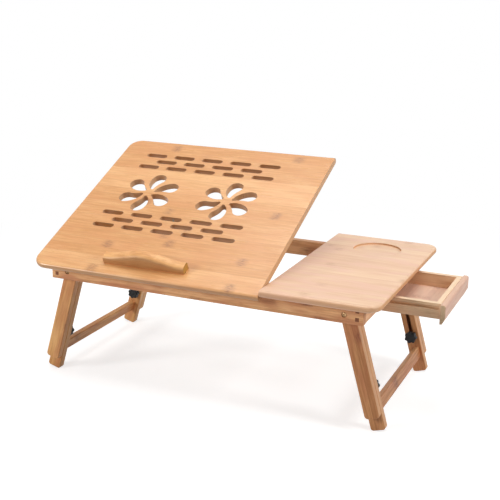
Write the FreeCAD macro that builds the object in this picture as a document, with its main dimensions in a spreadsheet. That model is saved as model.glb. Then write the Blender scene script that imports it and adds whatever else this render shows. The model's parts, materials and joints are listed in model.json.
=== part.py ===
"""Folding laptop stand with a side drawer, built as a parametric document.

Lengths are in millimetres.  X runs to the right, Y to the back, Z up from the floor.
"""
import os
import re

import FreeCAD
import Part
import Sketcher

Vector = FreeCAD.Vector
DOC = FreeCAD.newDocument("LaptopStand")

# Driving sizes: name, value, meaning.
SIZES = [
    ("origin_x", 31.74, "middle of the overall width, from the middle of the boards"),
    ("origin_y", -0.56, "middle of the overall depth, from the middle of the boards"),
    ("plate_width", 550.0, "width over both top boards"),
    ("plate_depth", 350.0, "front to back of the top boards"),
    ("plate_thick", 10.0, "thickness of the top boards"),
    ("plate_corner", 22.0, "outer corner radius of the top boards"),
    ("plate_round", 4.2, "edge rounding of the top boards"),
    ("top_height", 198.0, "height of the fixed board's top above the floor"),
    ("front_overhang", 18.5, "top boards beyond the front rail"),
    ("split_x", 103.0, "line between the two top boards"),
    ("split_gap", 0.8, "gap between the two top boards"),
    ("tilt_angle", 24.2, "slope of the tilting board in degrees"),
    ("seat_gap", 0.1, "flat board above the rails"),
    ("frame_width", 500.0, "width over the side rails"),
    ("frame_depth", 300.0, "depth over the front and rear rails"),
    ("rail_height", 25.0, "height of the rails"),
    ("rail_thick", 12.0, "thickness of the rails"),
    ("rail_round", 1.0, "edge rounding of the rails"),
    ("divider_height", 16.0, "height of the divider"),
    ("divider_width", 12.0, "width of the divider"),
    ("stub_size", 8.0, "width and height of the divider's stub tenons"),
    ("stub_length", 6.0, "length of the divider's stub tenons"),
    ("tenon_size", 5.5, "side of the square through tenons"),
    ("tenon_low", 8.0, "lower tenon's middle above the rail's bottom"),
    ("tenon_high", 20.0, "upper tenon's middle above the rail's bottom"),
    ("wood_gap", 0.05, "glue line round a tenon"),
    ("bore_gap", 0.05, "running fit of a pin in a bore, on the radius"),
    ("screw_gap", 0.05, "screw in its hole, on the radius"),
    ("face_gap", 0.2, "free play between flat faces that slide"),
    ("cup_x", 191.0, "cup recess from the middle of the boards"),
    ("cup_y", 104.5, "cup recess behind the middle of the boards"),
    ("cup_radius", 38.0, "cup recess"),
    ("cup_deep", 2.5, "depth of the cup recess"),
    ("splay", 16.0, "outward slope of the legs in degrees"),
    ("splay_gap", 0.3, "leg's play against the side rail's lower edge"),
    ("pivot_rise", 12.5, "leg pivot above the rail's bottom"),
    ("leg_width", 22.0, "width of the leg boards"),
    ("leg_thick", 12.0, "thickness of the leg boards"),
    ("leg_gap", 0.5, "play between rail and leg, and between the two leg boards"),
    ("leg_length", 158.0, "upper leg board, pivot to end"),
    ("leg_corner", 5.0, "corner radius at the upper board's end"),
    ("leg_round", 1.4, "edge rounding of the leg boards"),
    ("foot_top", 9.5, "lower leg board's top end below the pivot"),
    ("foot_corner", 4.0, "corner radius of the lower leg boards"),
    ("bolt_drop", 119.5, "clamp stud below the pivot"),
    ("leg_travel", 75.0, "travel of the lower leg board"),
    ("slot_width", 6.0, "slot in the lower leg board"),
    ("bolt_radius", 2.5, "pivot bolts and clamp studs"),
    ("bolt_head_radius", 3.8, "pivot bolt head"),
    ("bolt_head_high", 2.4, "pivot bolt head"),
    ("cross_long", 5.0, "length of the cross recess"),
    ("cross_wide", 1.1, "width of the cross recess"),
    ("cross_deep", 1.2, "depth of the cross recess"),
    ("washer_radius", 7.0, "washers on the pivots and studs"),
    ("washer_thick", 1.0, "washers on the pivots and studs"),
    ("nut_flats", 8.0, "pivot nut across flats"),
    ("nut_thick", 4.0, "pivot nut"),
    ("bolt_tail", 1.0, "bolt end beyond the nut"),
    ("stud_set", 8.0, "stud's depth in the upper leg board"),
    ("stud_reach", 8.0, "stud's reach into the knob"),
    ("knob_hub_radius", 6.0, "knob's collar"),
    ("knob_hub_high", 2.5, "knob's collar"),
    ("knob_high", 11.3, "height of the knob with its collar"),
    ("knob_core_radius", 8.3, "knob between its lobes"),
    ("knob_lobe_centre", 7.2, "lobe centre from the knob's axis"),
    ("knob_lobe_radius", 2.8, "lobe of the knob"),
    ("knob_round", 0.8, "edge rounding of the knob"),
    ("knob_bore_end", 0.8, "free bore beyond the stud's end"),
    ("stretcher_drop", 148.0, "stretcher's middle below the pivot"),
    ("stretcher_out", 2.0, "stretcher outward from the leg's middle"),
    ("stretcher_high", 18.0, "stretcher along the leg"),
    ("stretcher_thick", 8.5, "stretcher across the leg"),
    ("stretcher_tenon", 6.0, "depth of the stretcher's tenons"),
    ("tenon_shoulder", 1.5, "shoulder round the stretcher's tenons"),
    ("vent_centre_x", -101.0, "middle of the slot pattern"),
    ("vent_upper_height", 271.0, "middle row of the upper slots above the hinge"),
    ("vent_lower_height", 107.6, "middle row of the lower slots above the hinge"),
    ("vent_row_distance", 16.5, "distance between slot rows"),
    ("vent_distance", 52.3, "distance between slots in a row"),
    ("vent_long", 38.0, "length of a slot"),
    ("vent_wide", 9.8, "width of a slot"),
    ("flower_height", 184.9, "flower centres above the hinge"),
    ("flower_distance", 139.4, "distance between the flowers"),
    ("petal_turn", 28.0, "first petal's direction in degrees"),
    ("petal_end_x", 37.6, "centre of the petal's round end from the flower's centre"),
    ("petal_end_radius", 12.2, "petal's round end"),
    ("petal_tip_x", 12.0, "centre of the petal's narrow end from the flower's centre"),
    ("petal_tip_radius", 2.8, "petal's narrow end"),
    ("petal_full_radius", 30.0, "radius of the petal's full side"),
    ("petal_hollow_radius", 40.0, "radius of the petal's hollow side"),
    ("stopper_x", -88.5, "stopper's middle"),
    ("stopper_long", 135.0, "length of the stopper"),
    ("stopper_front", 3.5, "stopper's front face above the hinge line"),
    ("stopper_deep", 16.0, "depth of the stopper"),
    ("stopper_low", 12.0, "stopper's height at its ends"),
    ("stopper_high", 23.0, "stopper's height in the middle"),
    ("stopper_ramp_out", 56.0, "foot of the stopper's shoulder from its middle"),
    ("stopper_ramp_in", 9.0, "top of the stopper's shoulder from its middle"),
    ("stopper_shoulder", 65.0, "radius of the stopper's shoulders"),
    ("stopper_crown", 6.5, "rounding of the stopper's front top edge"),
    ("stopper_foot", 2.5, "rounding of the stopper's front bottom edge"),
    ("stopper_round", 3.0, "rounding of the stopper's rear top edge"),
    ("stopper_screw_x", 35.0, "stopper screws from its middle"),
    ("stopper_screw_bite", 9.0, "stopper screws in the stopper"),
    ("hinge_left_x", -190.0, "left hinge's middle"),
    ("hinge_right_x", 20.0, "right hinge's middle"),
    ("hinge_long", 38.0, "length of a hinge"),
    ("hinge_leaf", 10.0, "depth of a hinge leaf from the pin"),
    ("hinge_thick", 1.0, "thickness of a hinge leaf"),
    ("hinge_inset", 0.6, "leaf's face from the pin's plane"),
    ("knuckle_radius", 2.2, "hinge knuckle"),
    ("knuckle_gap", 0.4, "free space round a knuckle"),
    ("hinge_pin_radius", 1.0, "hinge pin"),
    ("leaf_screw_x", 12.0, "leaf screws from the hinge's middle"),
    ("leaf_screw_y", 7.0, "leaf screws from the pin"),
    ("leaf_screw_radius", 1.2, "shank of the leaf screws"),
    ("leaf_screw_long", 7.0, "shank of the leaf screws"),
    ("leaf_head_radius", 2.2, "head of the leaf screws"),
    ("leaf_head_high", 0.45, "head of the leaf screws"),
    ("prop_slope", 140.0, "prop's pivot above the hinge, along the board"),
    ("prop_under", 4.5, "prop's pivot below the board"),
    ("prop_length", 92.0, "prop's pivot to its foot bar"),
    ("wire_radius", 2.5, "prop's wire"),
    ("wire_bend", 8.0, "bend radius of the wire"),
    ("prop_left", -150.0, "prop's left arm"),
    ("prop_right", 45.0, "prop's right arm"),
    ("prop_end_gap", 0.4, "foot bar's ends from the racks"),
    ("clip_left_x", -100.0, "left clip"),
    ("clip_right_x", 25.0, "right clip"),
    ("clip_width", 14.0, "clip along the wire"),
    ("clip_long", 30.0, "clip across the wire"),
    ("clip_hump", 11.0, "clip's hump across the wire"),
    ("clip_wing", 2.5, "thickness of the clip's wings"),
    ("clip_high", 8.5, "height of the clip's hump"),
    ("clip_round", 2.5, "rounding of the clip's hump"),
    ("clip_screw_y", 10.5, "clip screws from the wire"),
    ("clip_screw_radius", 1.5, "shank of the clip screws"),
    ("clip_screw_bite", 6.5, "clip screws in the board"),
    ("clip_head_radius", 2.8, "head of the clip screws"),
    ("clip_head_high", 1.8, "head of the clip screws"),
    ("rack_thick", 10.0, "rack strips"),
    ("rack_drop", 2.0, "rack's top below the boards"),
    ("rack_height", 12.0, "height of the rack strips"),
    ("rack_front", 19.8, "rack's front end from the rest notch"),
    ("rack_back", 37.2, "rack's back end from the rest notch"),
    ("notch_distance", 9.0, "distance between notches"),
    ("notch_deep", 4.0, "notch's centre below the rack's top"),
    ("notch_gap", 0.2, "notch round the wire"),
    ("rack_screw_edge", 4.8, "rack screws from the rack's ends"),
    ("rack_screw_rise", 6.0, "rack screws above the rack's bottom"),
    ("rack_screw_radius", 1.5, "shank of the rack screws"),
    ("rack_screw_bite", 8.0, "rack screws in the rail"),
    ("rack_head_radius", 2.8, "head of the rack screws"),
    ("rack_head_high", 1.8, "head of the rack screws"),
    ("drawer_open", 87.5, "drawer pulled out"),
    ("panel_thick", 8.0, "drawer panel"),
    ("panel_width", 155.0, "drawer panel"),
    ("drawer_y", -6.5, "drawer's middle"),
    ("panel_drop", 7.0, "panel's bottom below the rails"),
    ("panel_height", 28.5, "height of the drawer panel"),
    ("panel_foot", 3.5, "flat lower edge of the panel"),
    ("panel_bevel", 9.5, "height of the panel's bevel"),
    ("panel_round", 3.6, "panel's upper outer edge"),
    ("panel_edge", 1.2, "panel's other edges"),
    ("joint_edge", 1.2, "top edges where the panel meets the end wall"),
    ("box_width", 143.0, "drawer box, outside"),
    ("box_length", 133.0, "drawer box, outside"),
    ("box_drop", 1.5, "drawer box's bottom below the rails"),
    ("box_height", 22.5, "height of the drawer box"),
    ("wall_thick", 8.0, "drawer side walls"),
    ("end_thick", 7.5, "drawer end walls"),
    ("dado_deep", 2.5, "end walls let into the side walls"),
    ("bottom_thick", 2.5, "drawer bottom"),
    ("rebate_wide", 4.0, "rebate for the drawer bottom"),
    ("groove_low", 13.0, "runner groove above the box's bottom"),
    ("groove_high", 5.5, "height of the runner groove"),
    ("groove_deep", 4.0, "depth of the runner groove"),
    ("groove_stop", 3.0, "groove's closed end from the panel"),
    ("runner_gap", 0.5, "runner from the drawer's side"),
    ("runner_thick", 11.5, "thickness of the runners"),
    ("tongue_gap", 0.15, "tongue in its groove, above and below"),
    ("tongue_end_gap", 0.6, "tongue's edge from the groove's bottom"),
    ("opening_gap", 2.5, "side rail from the drawer box"),
    ("drawer_screw_radius", 1.7, "shank of the drawer screws"),
    ("drawer_screw_bite", 6.0, "drawer screws in the panel"),
    ("drawer_head_radius", 3.2, "head of the drawer screws"),
    ("drawer_head_high", 2.0, "head of the drawer screws"),
    ("drawer_screw_y", 40.0, "drawer screws from the drawer's middle"),
    ("top_screw_radius", 1.8, "shank of the top screws"),
    ("top_screw_bite", 6.5, "top screws in the fixed board"),
    ("top_screw_grip", 13.5, "top screws in the rail, under the board"),
    ("top_head_radius", 3.4, "head of the top screws"),
    ("top_head_high", 2.2, "head of the top screws"),
    ("top_screw_left_x", 150.0, "left top screws in front and rear rails"),
    ("top_screw_right_x", 202.0, "right top screws in front and rear rails"),
    ("side_screw_front_y", -112.0, "top screw in the right rail's front part"),
    ("side_screw_rear_y", 100.0, "top screw in the right rail's rear part"),
    ("divider_screw_front_y", -88.0, "front top screw in the divider"),
    ("divider_screw_mid_y", 6.0, "middle top screw in the divider"),
    ("divider_screw_rear_y", 100.0, "rear top screw in the divider"),
    ("runner_screw_in", 24.0, "runner's screws from its ends"),
    ("cut_past", 1.0, "how far a through cut passes the surface"),
]

# Sizes that follow from the driving ones.
PLACES = [
    ("front_y", "front_overhang - plate_depth / 2"),
    ("rear_y", "front_y + frame_depth"),
    ("inner_front_y", "front_y + rail_thick"),
    ("inner_rear_y", "rear_y - rail_thick"),
    ("side_x", "frame_width / 2"),
    ("inner_x", "side_x - rail_thick"),
    ("rail_mid_x", "side_x - rail_thick / 2 - tenon_size / 2"),
    ("under_z", "top_height - plate_thick"),
    ("rail_low", "under_z - rail_height"),
    ("divider_low", "under_z - divider_height"),
    ("divider_right", "split_x + divider_width"),
    ("hinge_z", "under_z + seat_gap"),
    ("pivot_z", "rail_low + pivot_rise"),
    ("pivot_x", "inner_x - leg_width / 2 / cos(splay) - pivot_rise * tan(splay) - splay_gap"),
    ("foot_near", "leg_gap + leg_thick + leg_gap"),
    ("foot_far", "foot_near + leg_thick"),
    ("washer_near", "foot_far + face_gap"),
    ("knob_near", "washer_near + washer_thick + face_gap"),
    ("nut_washer_near", "leg_gap + leg_thick + face_gap"),
    ("nut_near", "nut_washer_near + washer_thick"),
    ("bolt_end", "nut_near + nut_thick + bolt_tail"),
    ("stud_near", "leg_gap + leg_thick - stud_set"),
    ("foot_bottom", "foot_corner + (pivot_z - foot_corner"
                    " - (leg_width / 2 - foot_corner) * sin(splay)) / cos(splay)"),
    ("knob_x", "pivot_x + bolt_drop * sin(splay)"),
    ("knob_z", "pivot_z - bolt_drop * cos(splay)"),
    ("tilt_right", "split_x - split_gap / 2"),
    ("fixed_left", "split_x + split_gap / 2"),
    ("prop_y", "front_y + prop_slope * cos(tilt_angle) + prop_under * sin(tilt_angle)"),
    ("prop_z", "hinge_z + prop_slope * sin(tilt_angle) - prop_under * cos(tilt_angle)"),
    ("rack_top", "under_z - rack_drop"),
    ("rack_low", "rack_top - rack_height"),
    ("notch_z", "rack_top - notch_deep"),
    ("prop_angle", "asin((prop_z - notch_z) / prop_length) / 1 deg"),
    ("notch_y", "prop_y - prop_length * cos(prop_angle)"),
    ("rack_left_x", "rack_thick - inner_x"),
    ("rack_right_x", "split_x - rack_thick"),
    ("drawer_x", "side_x + drawer_open"),
    ("panel_low", "rail_low - panel_drop"),
    ("box_low", "rail_low - box_drop"),
    ("box_front", "drawer_y - box_width / 2"),
    ("box_rear", "drawer_y + box_width / 2"),
    ("runner_front_y", "box_front - runner_gap"),
    ("runner_rear_y", "box_rear + runner_gap"),
    ("tongue_reach", "runner_gap + groove_deep - tongue_end_gap"),
    ("opening_front_y", "box_front - opening_gap"),
    ("opening_rear_y", "box_rear + opening_gap"),
    ("top_seat_z", "under_z - top_screw_grip"),
    ("leaf_depth", "hinge_inset + hinge_thick"),
    ("knuckle_third", "hinge_long / 6"),
]

PETALS = 6
LOBES = 7
NOTCHES = 5
FLOWERS = 2
VENTS_IN_LONG_ROW = 5
VENTS_IN_SHORT_ROW = 4

# Lengths and places nearer than this count as the same.
CLOSE = 0.02

ALIASES = {}
PIECES = []


def linked(expression):
    """Put the right sheet's name before every size named in an expression."""
    return re.sub(r"[a-z_]+\w*", lambda m: ALIASES.get(m.group(0), m.group(0)), expression)


def write_sheets():
    """Write the driving sizes as numbers and the rest as formulas."""
    sheet = DOC.addObject("Spreadsheet::Sheet", "Sizes")
    for row, (name, value, meaning) in enumerate(SIZES, start=1):
        sheet.set("A%d" % row, name)
        sheet.set("B%d" % row, str(value))
        sheet.setAlias("B%d" % row, name)
        sheet.set("C%d" % row, meaning)
        ALIASES[name] = "Sizes." + name
    DOC.recompute()
    places = DOC.addObject("Spreadsheet::Sheet", "Places")
    for row, (name, formula) in enumerate(PLACES, start=1):
        places.set("A%d" % row, name)
        places.set("B%d" % row, "=" + linked(formula))
        places.setAlias("B%d" % row, name)
        ALIASES[name] = "Places." + name
        DOC.recompute()


def value_of(owner, expression):
    """Today's number for an expression."""
    result = owner.evalExpression(linked(expression))
    return float(getattr(result, "Value", result))


def bind(owner, prop, expression):
    """Tie a property to an expression on the sheets."""
    owner.setExpression(prop, linked(expression))


def turn_about(owner, axis, expression):
    """Tie the turn of an object about an axis to an expression."""
    angle = value_of(owner, expression)
    owner.Placement = FreeCAD.Placement(Vector(), FreeCAD.Rotation(axis, angle))
    bind(owner, "Placement.Rotation.Angle", expression)


def place(owner, frame):
    """Put an object in one of the stand's frames, measured from the model's origin."""
    x, y, z, axis, angle = FRAMES[frame]
    if axis is not None:
        turn_about(owner, axis, angle)
    bind(owner, "Placement.Base.x", "(%s) - origin_x" % x)
    bind(owner, "Placement.Base.y", "(%s) - origin_y" % y)
    bind(owner, "Placement.Base.z", z)


ALONG_X = Vector(1, 0, 0)
ALONG_Y = Vector(0, 1, 0)
FRAMES = {
    "stand": ("0", "0", "0", None, None),
    "hinge": ("0", "front_y", "hinge_z", None, None),
    "board": ("0", "front_y", "hinge_z", ALONG_X, "tilt_angle"),
    "prop": ("0", "prop_y", "prop_z", ALONG_X, "prop_angle"),
    "left_leg": ("-pivot_x", "0", "pivot_z", ALONG_Y, "splay"),
    "right_leg": ("pivot_x", "0", "pivot_z", ALONG_Y, "-splay"),
    "left_knob": ("-knob_x", "0", "knob_z", ALONG_Y, "splay"),
    "right_knob": ("knob_x", "0", "knob_z", ALONG_Y, "-splay"),
    "drawer": ("drawer_x", "0", "0", None, None),
}


def fix_point(sketch, geometry, point, x, y):
    """Hold a sketch point at two distances from the sketch's origin."""
    for kind, distance in (("DistanceX", x), ("DistanceY", y)):
        constraint = Sketcher.Constraint(kind, -1, 1, geometry, point, value_of(sketch, distance))
        index = sketch.addConstraint(constraint)
        bind(sketch, "Constraints[%d]" % index, distance)


def fix_radius(sketch, geometry, radius):
    """Hold the radius of a sketch circle or arc."""
    index = sketch.addConstraint(Sketcher.Constraint("Radius", geometry, value_of(sketch, radius)))
    bind(sketch, "Constraints[%d]" % index, radius)


def outline(*corners):
    """A closed outline of straight lines through corners given as expressions."""
    def draw(sketch):
        points = [Vector(value_of(sketch, x), value_of(sketch, y), 0) for x, y in corners]
        lines = []
        for index, start in enumerate(points):
            end = points[(index + 1) % len(points)]
            lines.append(sketch.addGeometry(Part.LineSegment(start, end)))
        for index, line in enumerate(lines):
            following = lines[(index + 1) % len(lines)]
            sketch.addConstraint(Sketcher.Constraint("Coincident", line, 2, following, 1))
            fix_point(sketch, line, 1, *corners[index])
    return draw


def rect(left, right, low, high):
    """An upright rectangle between four expressions."""
    return outline((left, low), (right, low), (right, high), (left, high))


def circle(x, y, radius):
    """A circle about a point."""
    def draw(sketch):
        centre = Vector(value_of(sketch, x), value_of(sketch, y), 0)
        ring = Part.Circle(centre, Vector(0, 0, 1), value_of(sketch, radius))
        geometry = sketch.addGeometry(ring)
        fix_point(sketch, geometry, 3, x, y)
        fix_radius(sketch, geometry, radius)
    return draw


def hexagon(x, y, flats):
    """A regular hexagon about a point, measured across its flats."""
    corner = "(%s) / 2 / cos(30)" % flats
    return outline(*[("%s + %s * cos(%d)" % (x, corner, angle), "%s + %s * sin(%d)" % (y, corner, angle))
                     for angle in range(0, 360, 60)])


def meeting(first, reach, second, span, side):
    """The point at two distances from two points, above (1) or below (-1) the line between them."""
    between = second - first
    apart = between.Length
    along = (reach ** 2 - span ** 2 + apart ** 2) / (2 * apart)
    off = (reach ** 2 - along ** 2) ** 0.5
    between.normalize()
    return first + between * along + Vector(-between.y, between.x, 0) * off * side


def beyond(start, through, distance):
    """The point at a distance from a start towards or past another point."""
    return start + (through - start).normalize() * distance


def petal():
    """A comma with its narrow end towards the flower's centre, one side full and one hollow."""
    def draw(sketch):
        narrow = Vector(value_of(sketch, "petal_tip_x"), 0, 0)
        round_end = Vector(value_of(sketch, "petal_end_x"), 0, 0)
        small, large = value_of(sketch, "petal_tip_radius"), value_of(sketch, "petal_end_radius")
        full, hollow = value_of(sketch, "petal_full_radius"), value_of(sketch, "petal_hollow_radius")
        inside = meeting(narrow, full - small, round_end, full - large, -1)
        outside = meeting(narrow, hollow + small, round_end, hollow + large, -1)
        upper, upper_tip = beyond(inside, round_end, full), beyond(inside, narrow, full)
        lower, lower_tip = beyond(outside, round_end, hollow), beyond(outside, narrow, hollow)
        end = sketch.addGeometry(Part.Arc(lower, round_end + Vector(large, 0, 0), upper))
        tip = sketch.addGeometry(Part.Arc(upper_tip, narrow - Vector(small, 0, 0), lower_tip))
        bulging = sketch.addGeometry(Part.Arc(
            upper, beyond(inside, (upper + upper_tip) * 0.5, full), upper_tip))
        curving = sketch.addGeometry(Part.Arc(
            lower, beyond(outside, (lower + lower_tip) * 0.5, hollow), lower_tip))
        for one, point, other, start in ((end, 2, bulging, 1), (bulging, 2, tip, 1),
                                         (tip, 2, curving, 2), (curving, 1, end, 1)):
            sketch.addConstraint(Sketcher.Constraint("Tangent", one, point, other, start))
        fix_point(sketch, end, 3, "petal_end_x", "0")
        fix_point(sketch, tip, 3, "petal_tip_x", "0")
        fix_radius(sketch, end, "petal_end_radius")
        fix_radius(sketch, tip, "petal_tip_radius")
        fix_radius(sketch, bulging, "petal_full_radius")
        fix_radius(sketch, curving, "petal_hollow_radius")
    return draw


def slot(x, y, length, width, upright=False):
    """A slot with round ends about its middle; upright slots run along the sketch's Y."""
    reach = "((%s) - (%s)) / 2" % (length, width)
    radius = "(%s) / 2" % width
    ends = [("%s - %s" % (x, reach), y), ("%s + %s" % (x, reach), y)]
    if upright:
        ends = [(x, "%s - %s" % (y, reach)), (x, "%s + %s" % (y, reach))]

    def draw(sketch):
        size = value_of(sketch, radius)
        low, high = [Vector(value_of(sketch, a), value_of(sketch, b), 0) for a, b in ends]
        along = (high - low).normalize()
        side = Vector(-along.y, along.x, 0)
        first = sketch.addGeometry(Part.Arc(low + side * size, low - along * size, low - side * size))
        second = sketch.addGeometry(Part.Arc(high - side * size, high + along * size, high + side * size))
        under = sketch.addGeometry(Part.LineSegment(low - side * size, high - side * size))
        over = sketch.addGeometry(Part.LineSegment(high + side * size, low + side * size))
        for one, end, other, start in ((first, 2, under, 1), (under, 2, second, 1),
                                       (second, 2, over, 1), (over, 2, first, 1)):
            sketch.addConstraint(Sketcher.Constraint("Tangent", one, end, other, start))
        fix_point(sketch, first, 3, *ends[0])
        fix_point(sketch, second, 3, *ends[1])
        fix_radius(sketch, first, radius)
    return draw


def number(expression):
    """Today's number for an expression on the sheets."""
    return value_of(DOC.getObject("Places"), expression)


def near(value, expression):
    """Whether a coordinate lies at the place an expression gives."""
    return abs(value - number(expression)) < CLOSE


def runs(edge, axis):
    """Whether an edge is straight along an axis."""
    box = edge.BoundBox
    lengths = {"X": box.XLength, "Y": box.YLength, "Z": box.ZLength}
    along = lengths.pop(axis)
    return along > CLOSE and max(lengths.values()) < CLOSE


def across(edge):
    """Whether an edge lies in a plane square to Y."""
    return edge.BoundBox.YLength < CLOSE


def middle(edge):
    """Centre of an edge's bounding box."""
    return edge.BoundBox.Center


class Piece:
    """One body of the stand and the features that shape it."""

    def __init__(self, label, frame):
        self.body = DOC.addObject("PartDesign::Body", label)
        self.body.Label = label
        self.origin = {item.Role: item for item in self.body.Origin.OriginFeatures}
        place(self.body, frame)
        PIECES.append(self.body)

    @property
    def volume(self):
        """Volume of the body as it stands."""
        return self.body.Tip.Shape.Volume if self.body.Tip is not None else 0.0

    def sketch(self, plane, start, shapes, turn=None, at=("0", "0")):
        """A sketch on one of the body's planes, moved along that plane's axis to start."""
        sketch = self.body.newObject("Sketcher::SketchObject", "Sketch")
        sketch.AttachmentSupport = (self.origin[plane + "_Plane"], [""])
        sketch.MapMode = "FlatFace"
        if turn is not None:
            spin = FreeCAD.Rotation(Vector(0, 0, 1), value_of(sketch, turn))
            sketch.AttachmentOffset = FreeCAD.Placement(Vector(), spin)
            bind(sketch, "AttachmentOffset.Rotation.Angle", turn)
        bind(sketch, "AttachmentOffset.Base.x", at[0])
        bind(sketch, "AttachmentOffset.Base.y", at[1])
        # The XZ plane's own axis points along -Y.
        bind(sketch, "AttachmentOffset.Base.z", "-(%s)" % start if plane == "XZ" else start)
        for shape in shapes:
            shape(sketch)
        return sketch

    def grow(self, kind, sketch, length, reverse, change):
        """Add a pad or pocket and stop if the body's volume did not follow."""
        before = self.volume
        feature = self.body.newObject("PartDesign::" + kind, kind)
        feature.Profile = sketch
        feature.Reversed = reverse
        bind(feature, "Length", length)
        return self.settle(feature, before, change)

    def settle(self, feature, before, change):
        """Recompute, and stop if a feature did not change the body as it should."""
        DOC.recompute()
        if change * (feature.Shape.Volume - before) <= 1e-6:
            raise RuntimeError("%s: %s changed nothing" % (self.body.Label, feature.Name))
        return feature

    def add(self, plane, start, length, *shapes):
        """Add a pad from start along the plane's axis."""
        sketch = self.sketch(plane, start, shapes)
        return self.grow("Pad", sketch, length, plane == "XZ", 1)

    def cut(self, plane, start, length, *shapes, turn=None, at=("0", "0")):
        """Cut a pocket from start along the plane's axis."""
        sketch = self.sketch(plane, start, shapes, turn, at)
        return self.grow("Pocket", sketch, length, plane != "XZ", -1)

    def repeat(self, feature, *steps):
        """Repeat a feature in rows (axis, count, spacing) or round an axis (axis, count)."""
        before = self.volume
        pattern = self.body.newObject("PartDesign::MultiTransform", "Pattern")
        pattern.Originals = [feature]
        parts = []
        for axis, count, *spacing in steps:
            link = (self.origin[axis + "_Axis"], [""]) if isinstance(axis, str) else axis
            if spacing:
                step = self.body.newObject("PartDesign::LinearPattern", "Row")
                step.Direction = link
                bind(step, "Length", "(%s) * %d" % (spacing[0], count - 1))
            else:
                step = self.body.newObject("PartDesign::PolarPattern", "Ring")
                step.Axis = link
                step.Angle = 360
            step.Occurrences = count
            parts.append(step)
        pattern.Transformations = parts
        self.body.Tip = pattern
        return self.settle(pattern, before, 1 if feature.TypeId.endswith("Pad") else -1)

    def round(self, radius, wanted):
        """Round the edges that a test picks."""
        base = self.body.Tip
        names = ["Edge%d" % n for n, edge in enumerate(base.Shape.Edges, start=1) if wanted(edge)]
        fillet = self.body.newObject("PartDesign::Fillet", "Fillet")
        fillet.Base = (base, names)
        bind(fillet, "Radius", radius)
        DOC.recompute()
        return fillet


def inward(end, distance, length):
    """Start along Y of something that lies inward from the front or rear rail's inner face."""
    if end == "front":
        return "inner_front_y + (%s)" % distance
    return "inner_rear_y - (%s) - (%s)" % (distance, length)


def offwall(wall, side, distance, length):
    """Start along X of something that lies off a wall, to its right (1) or left (-1)."""
    if side > 0:
        return "%s + (%s)" % (wall, distance)
    return "%s - (%s) - (%s)" % (wall, distance, length)


def ring(x, y, outer, inner):
    """Two circles, one inside the other."""
    rim, hole = circle(x, y, outer), circle(x, y, inner)

    def draw(sketch):
        rim(sketch)
        hole(sketch)
    return draw


def square(x, y, side):
    """A square about a point."""
    half = "(%s) / 2" % side
    return rect("%s - %s" % (x, half), "%s + %s" % (x, half), "%s - %s" % (y, half), "%s + %s" % (y, half))


def cross(x, y, long, wide):
    """An upright cross about a point."""
    arm, half = "%s / 2" % long, "%s / 2" % wide
    steps = [(half, half), (half, arm), ("-" + half, arm), ("-" + half, half), ("-" + arm, half),
             ("-" + arm, "-" + half), ("-" + half, "-" + half), ("-" + half, "-" + arm),
             (half, "-" + arm), (half, "-" + half), (arm, "-" + half), (arm, half)]
    return outline(*[("%s + %s" % (x, a), "%s + %s" % (y, b)) for a, b in steps])


# Places of repeated fasteners ------------------------------------------------------------

TENON_HEIGHTS = ("rail_low + tenon_low", "rail_low + tenon_high")
DIVIDER_MID_X = "split_x + divider_width / 2"
DIVIDER_MID_Z = "divider_low + divider_height / 2"
RIGHT_RAIL_X = "side_x - rail_thick / 2"
RACK_SCREW_YS = ("notch_y - rack_front + rack_screw_edge", "notch_y + rack_back - rack_screw_edge")
RACK_SCREW_Z = "rack_low + rack_screw_rise"
RACK_WALLS = (("-inner_x", 1), ("split_x", -1))
HINGE_XS = ("hinge_left_x", "hinge_right_x")
STOPPER_SCREW_XS = ("stopper_x - stopper_screw_x", "stopper_x + stopper_screw_x")
STOPPER_MID_Y = "stopper_front + stopper_deep / 2"
CLIP_SCREW_YS = ("prop_slope - clip_screw_y", "prop_slope + clip_screw_y")
CLIP_SCREWS = [(x, y) for x in ("clip_left_x", "clip_right_x") for y in CLIP_SCREW_YS]
DRAWER_SCREW_YS = ("drawer_y - drawer_screw_y", "drawer_y + drawer_screw_y")
DRAWER_SCREW_Z = "box_low + box_height / 2"
RUNNER_SCREW_XS = ("divider_right + runner_screw_in", "inner_x - runner_screw_in")

CROSS_RAIL_SCREWS = {
    "front": [(x, "front_y + rail_thick / 2") for x in ("top_screw_left_x", "top_screw_right_x")],
    "rear": [(x, "rear_y - rail_thick / 2") for x in ("top_screw_left_x", "top_screw_right_x")],
}
DIVIDER_SCREWS = [(DIVIDER_MID_X, y) for y in
                  ("divider_screw_front_y", "divider_screw_mid_y", "divider_screw_rear_y")]
RUNNER_SCREWS = {
    "front": [(x, "runner_front_y - runner_thick / 2") for x in RUNNER_SCREW_XS],
    "rear": [(x, "runner_rear_y + runner_thick / 2") for x in RUNNER_SCREW_XS],
}
SIDE_SCREWS = {
    "front": [(RIGHT_RAIL_X, "side_screw_front_y")],
    "rear": [(RIGHT_RAIL_X, "side_screw_rear_y")],
}
TOP_SCREWS = (CROSS_RAIL_SCREWS["front"] + CROSS_RAIL_SCREWS["rear"] + DIVIDER_SCREWS
              + RUNNER_SCREWS["front"] + RUNNER_SCREWS["rear"] + SIDE_SCREWS["front"] + SIDE_SCREWS["rear"])


def top_screw_holes(piece, low, places):
    """Counterbores from below and through holes for the screws of the fixed board."""
    heads = [circle(x, y, "top_head_radius + screw_gap") for x, y in places]
    shanks = [circle(x, y, "top_screw_radius + screw_gap") for x, y in places]
    piece.cut("XY", "%s - cut_past" % low, "top_seat_z - %s + cut_past" % low, *heads)
    piece.cut("XY", "top_seat_z - cut_past", "under_z - top_seat_z + 2 * cut_past", *shanks)


# Frame -----------------------------------------------------------------------------------

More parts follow.
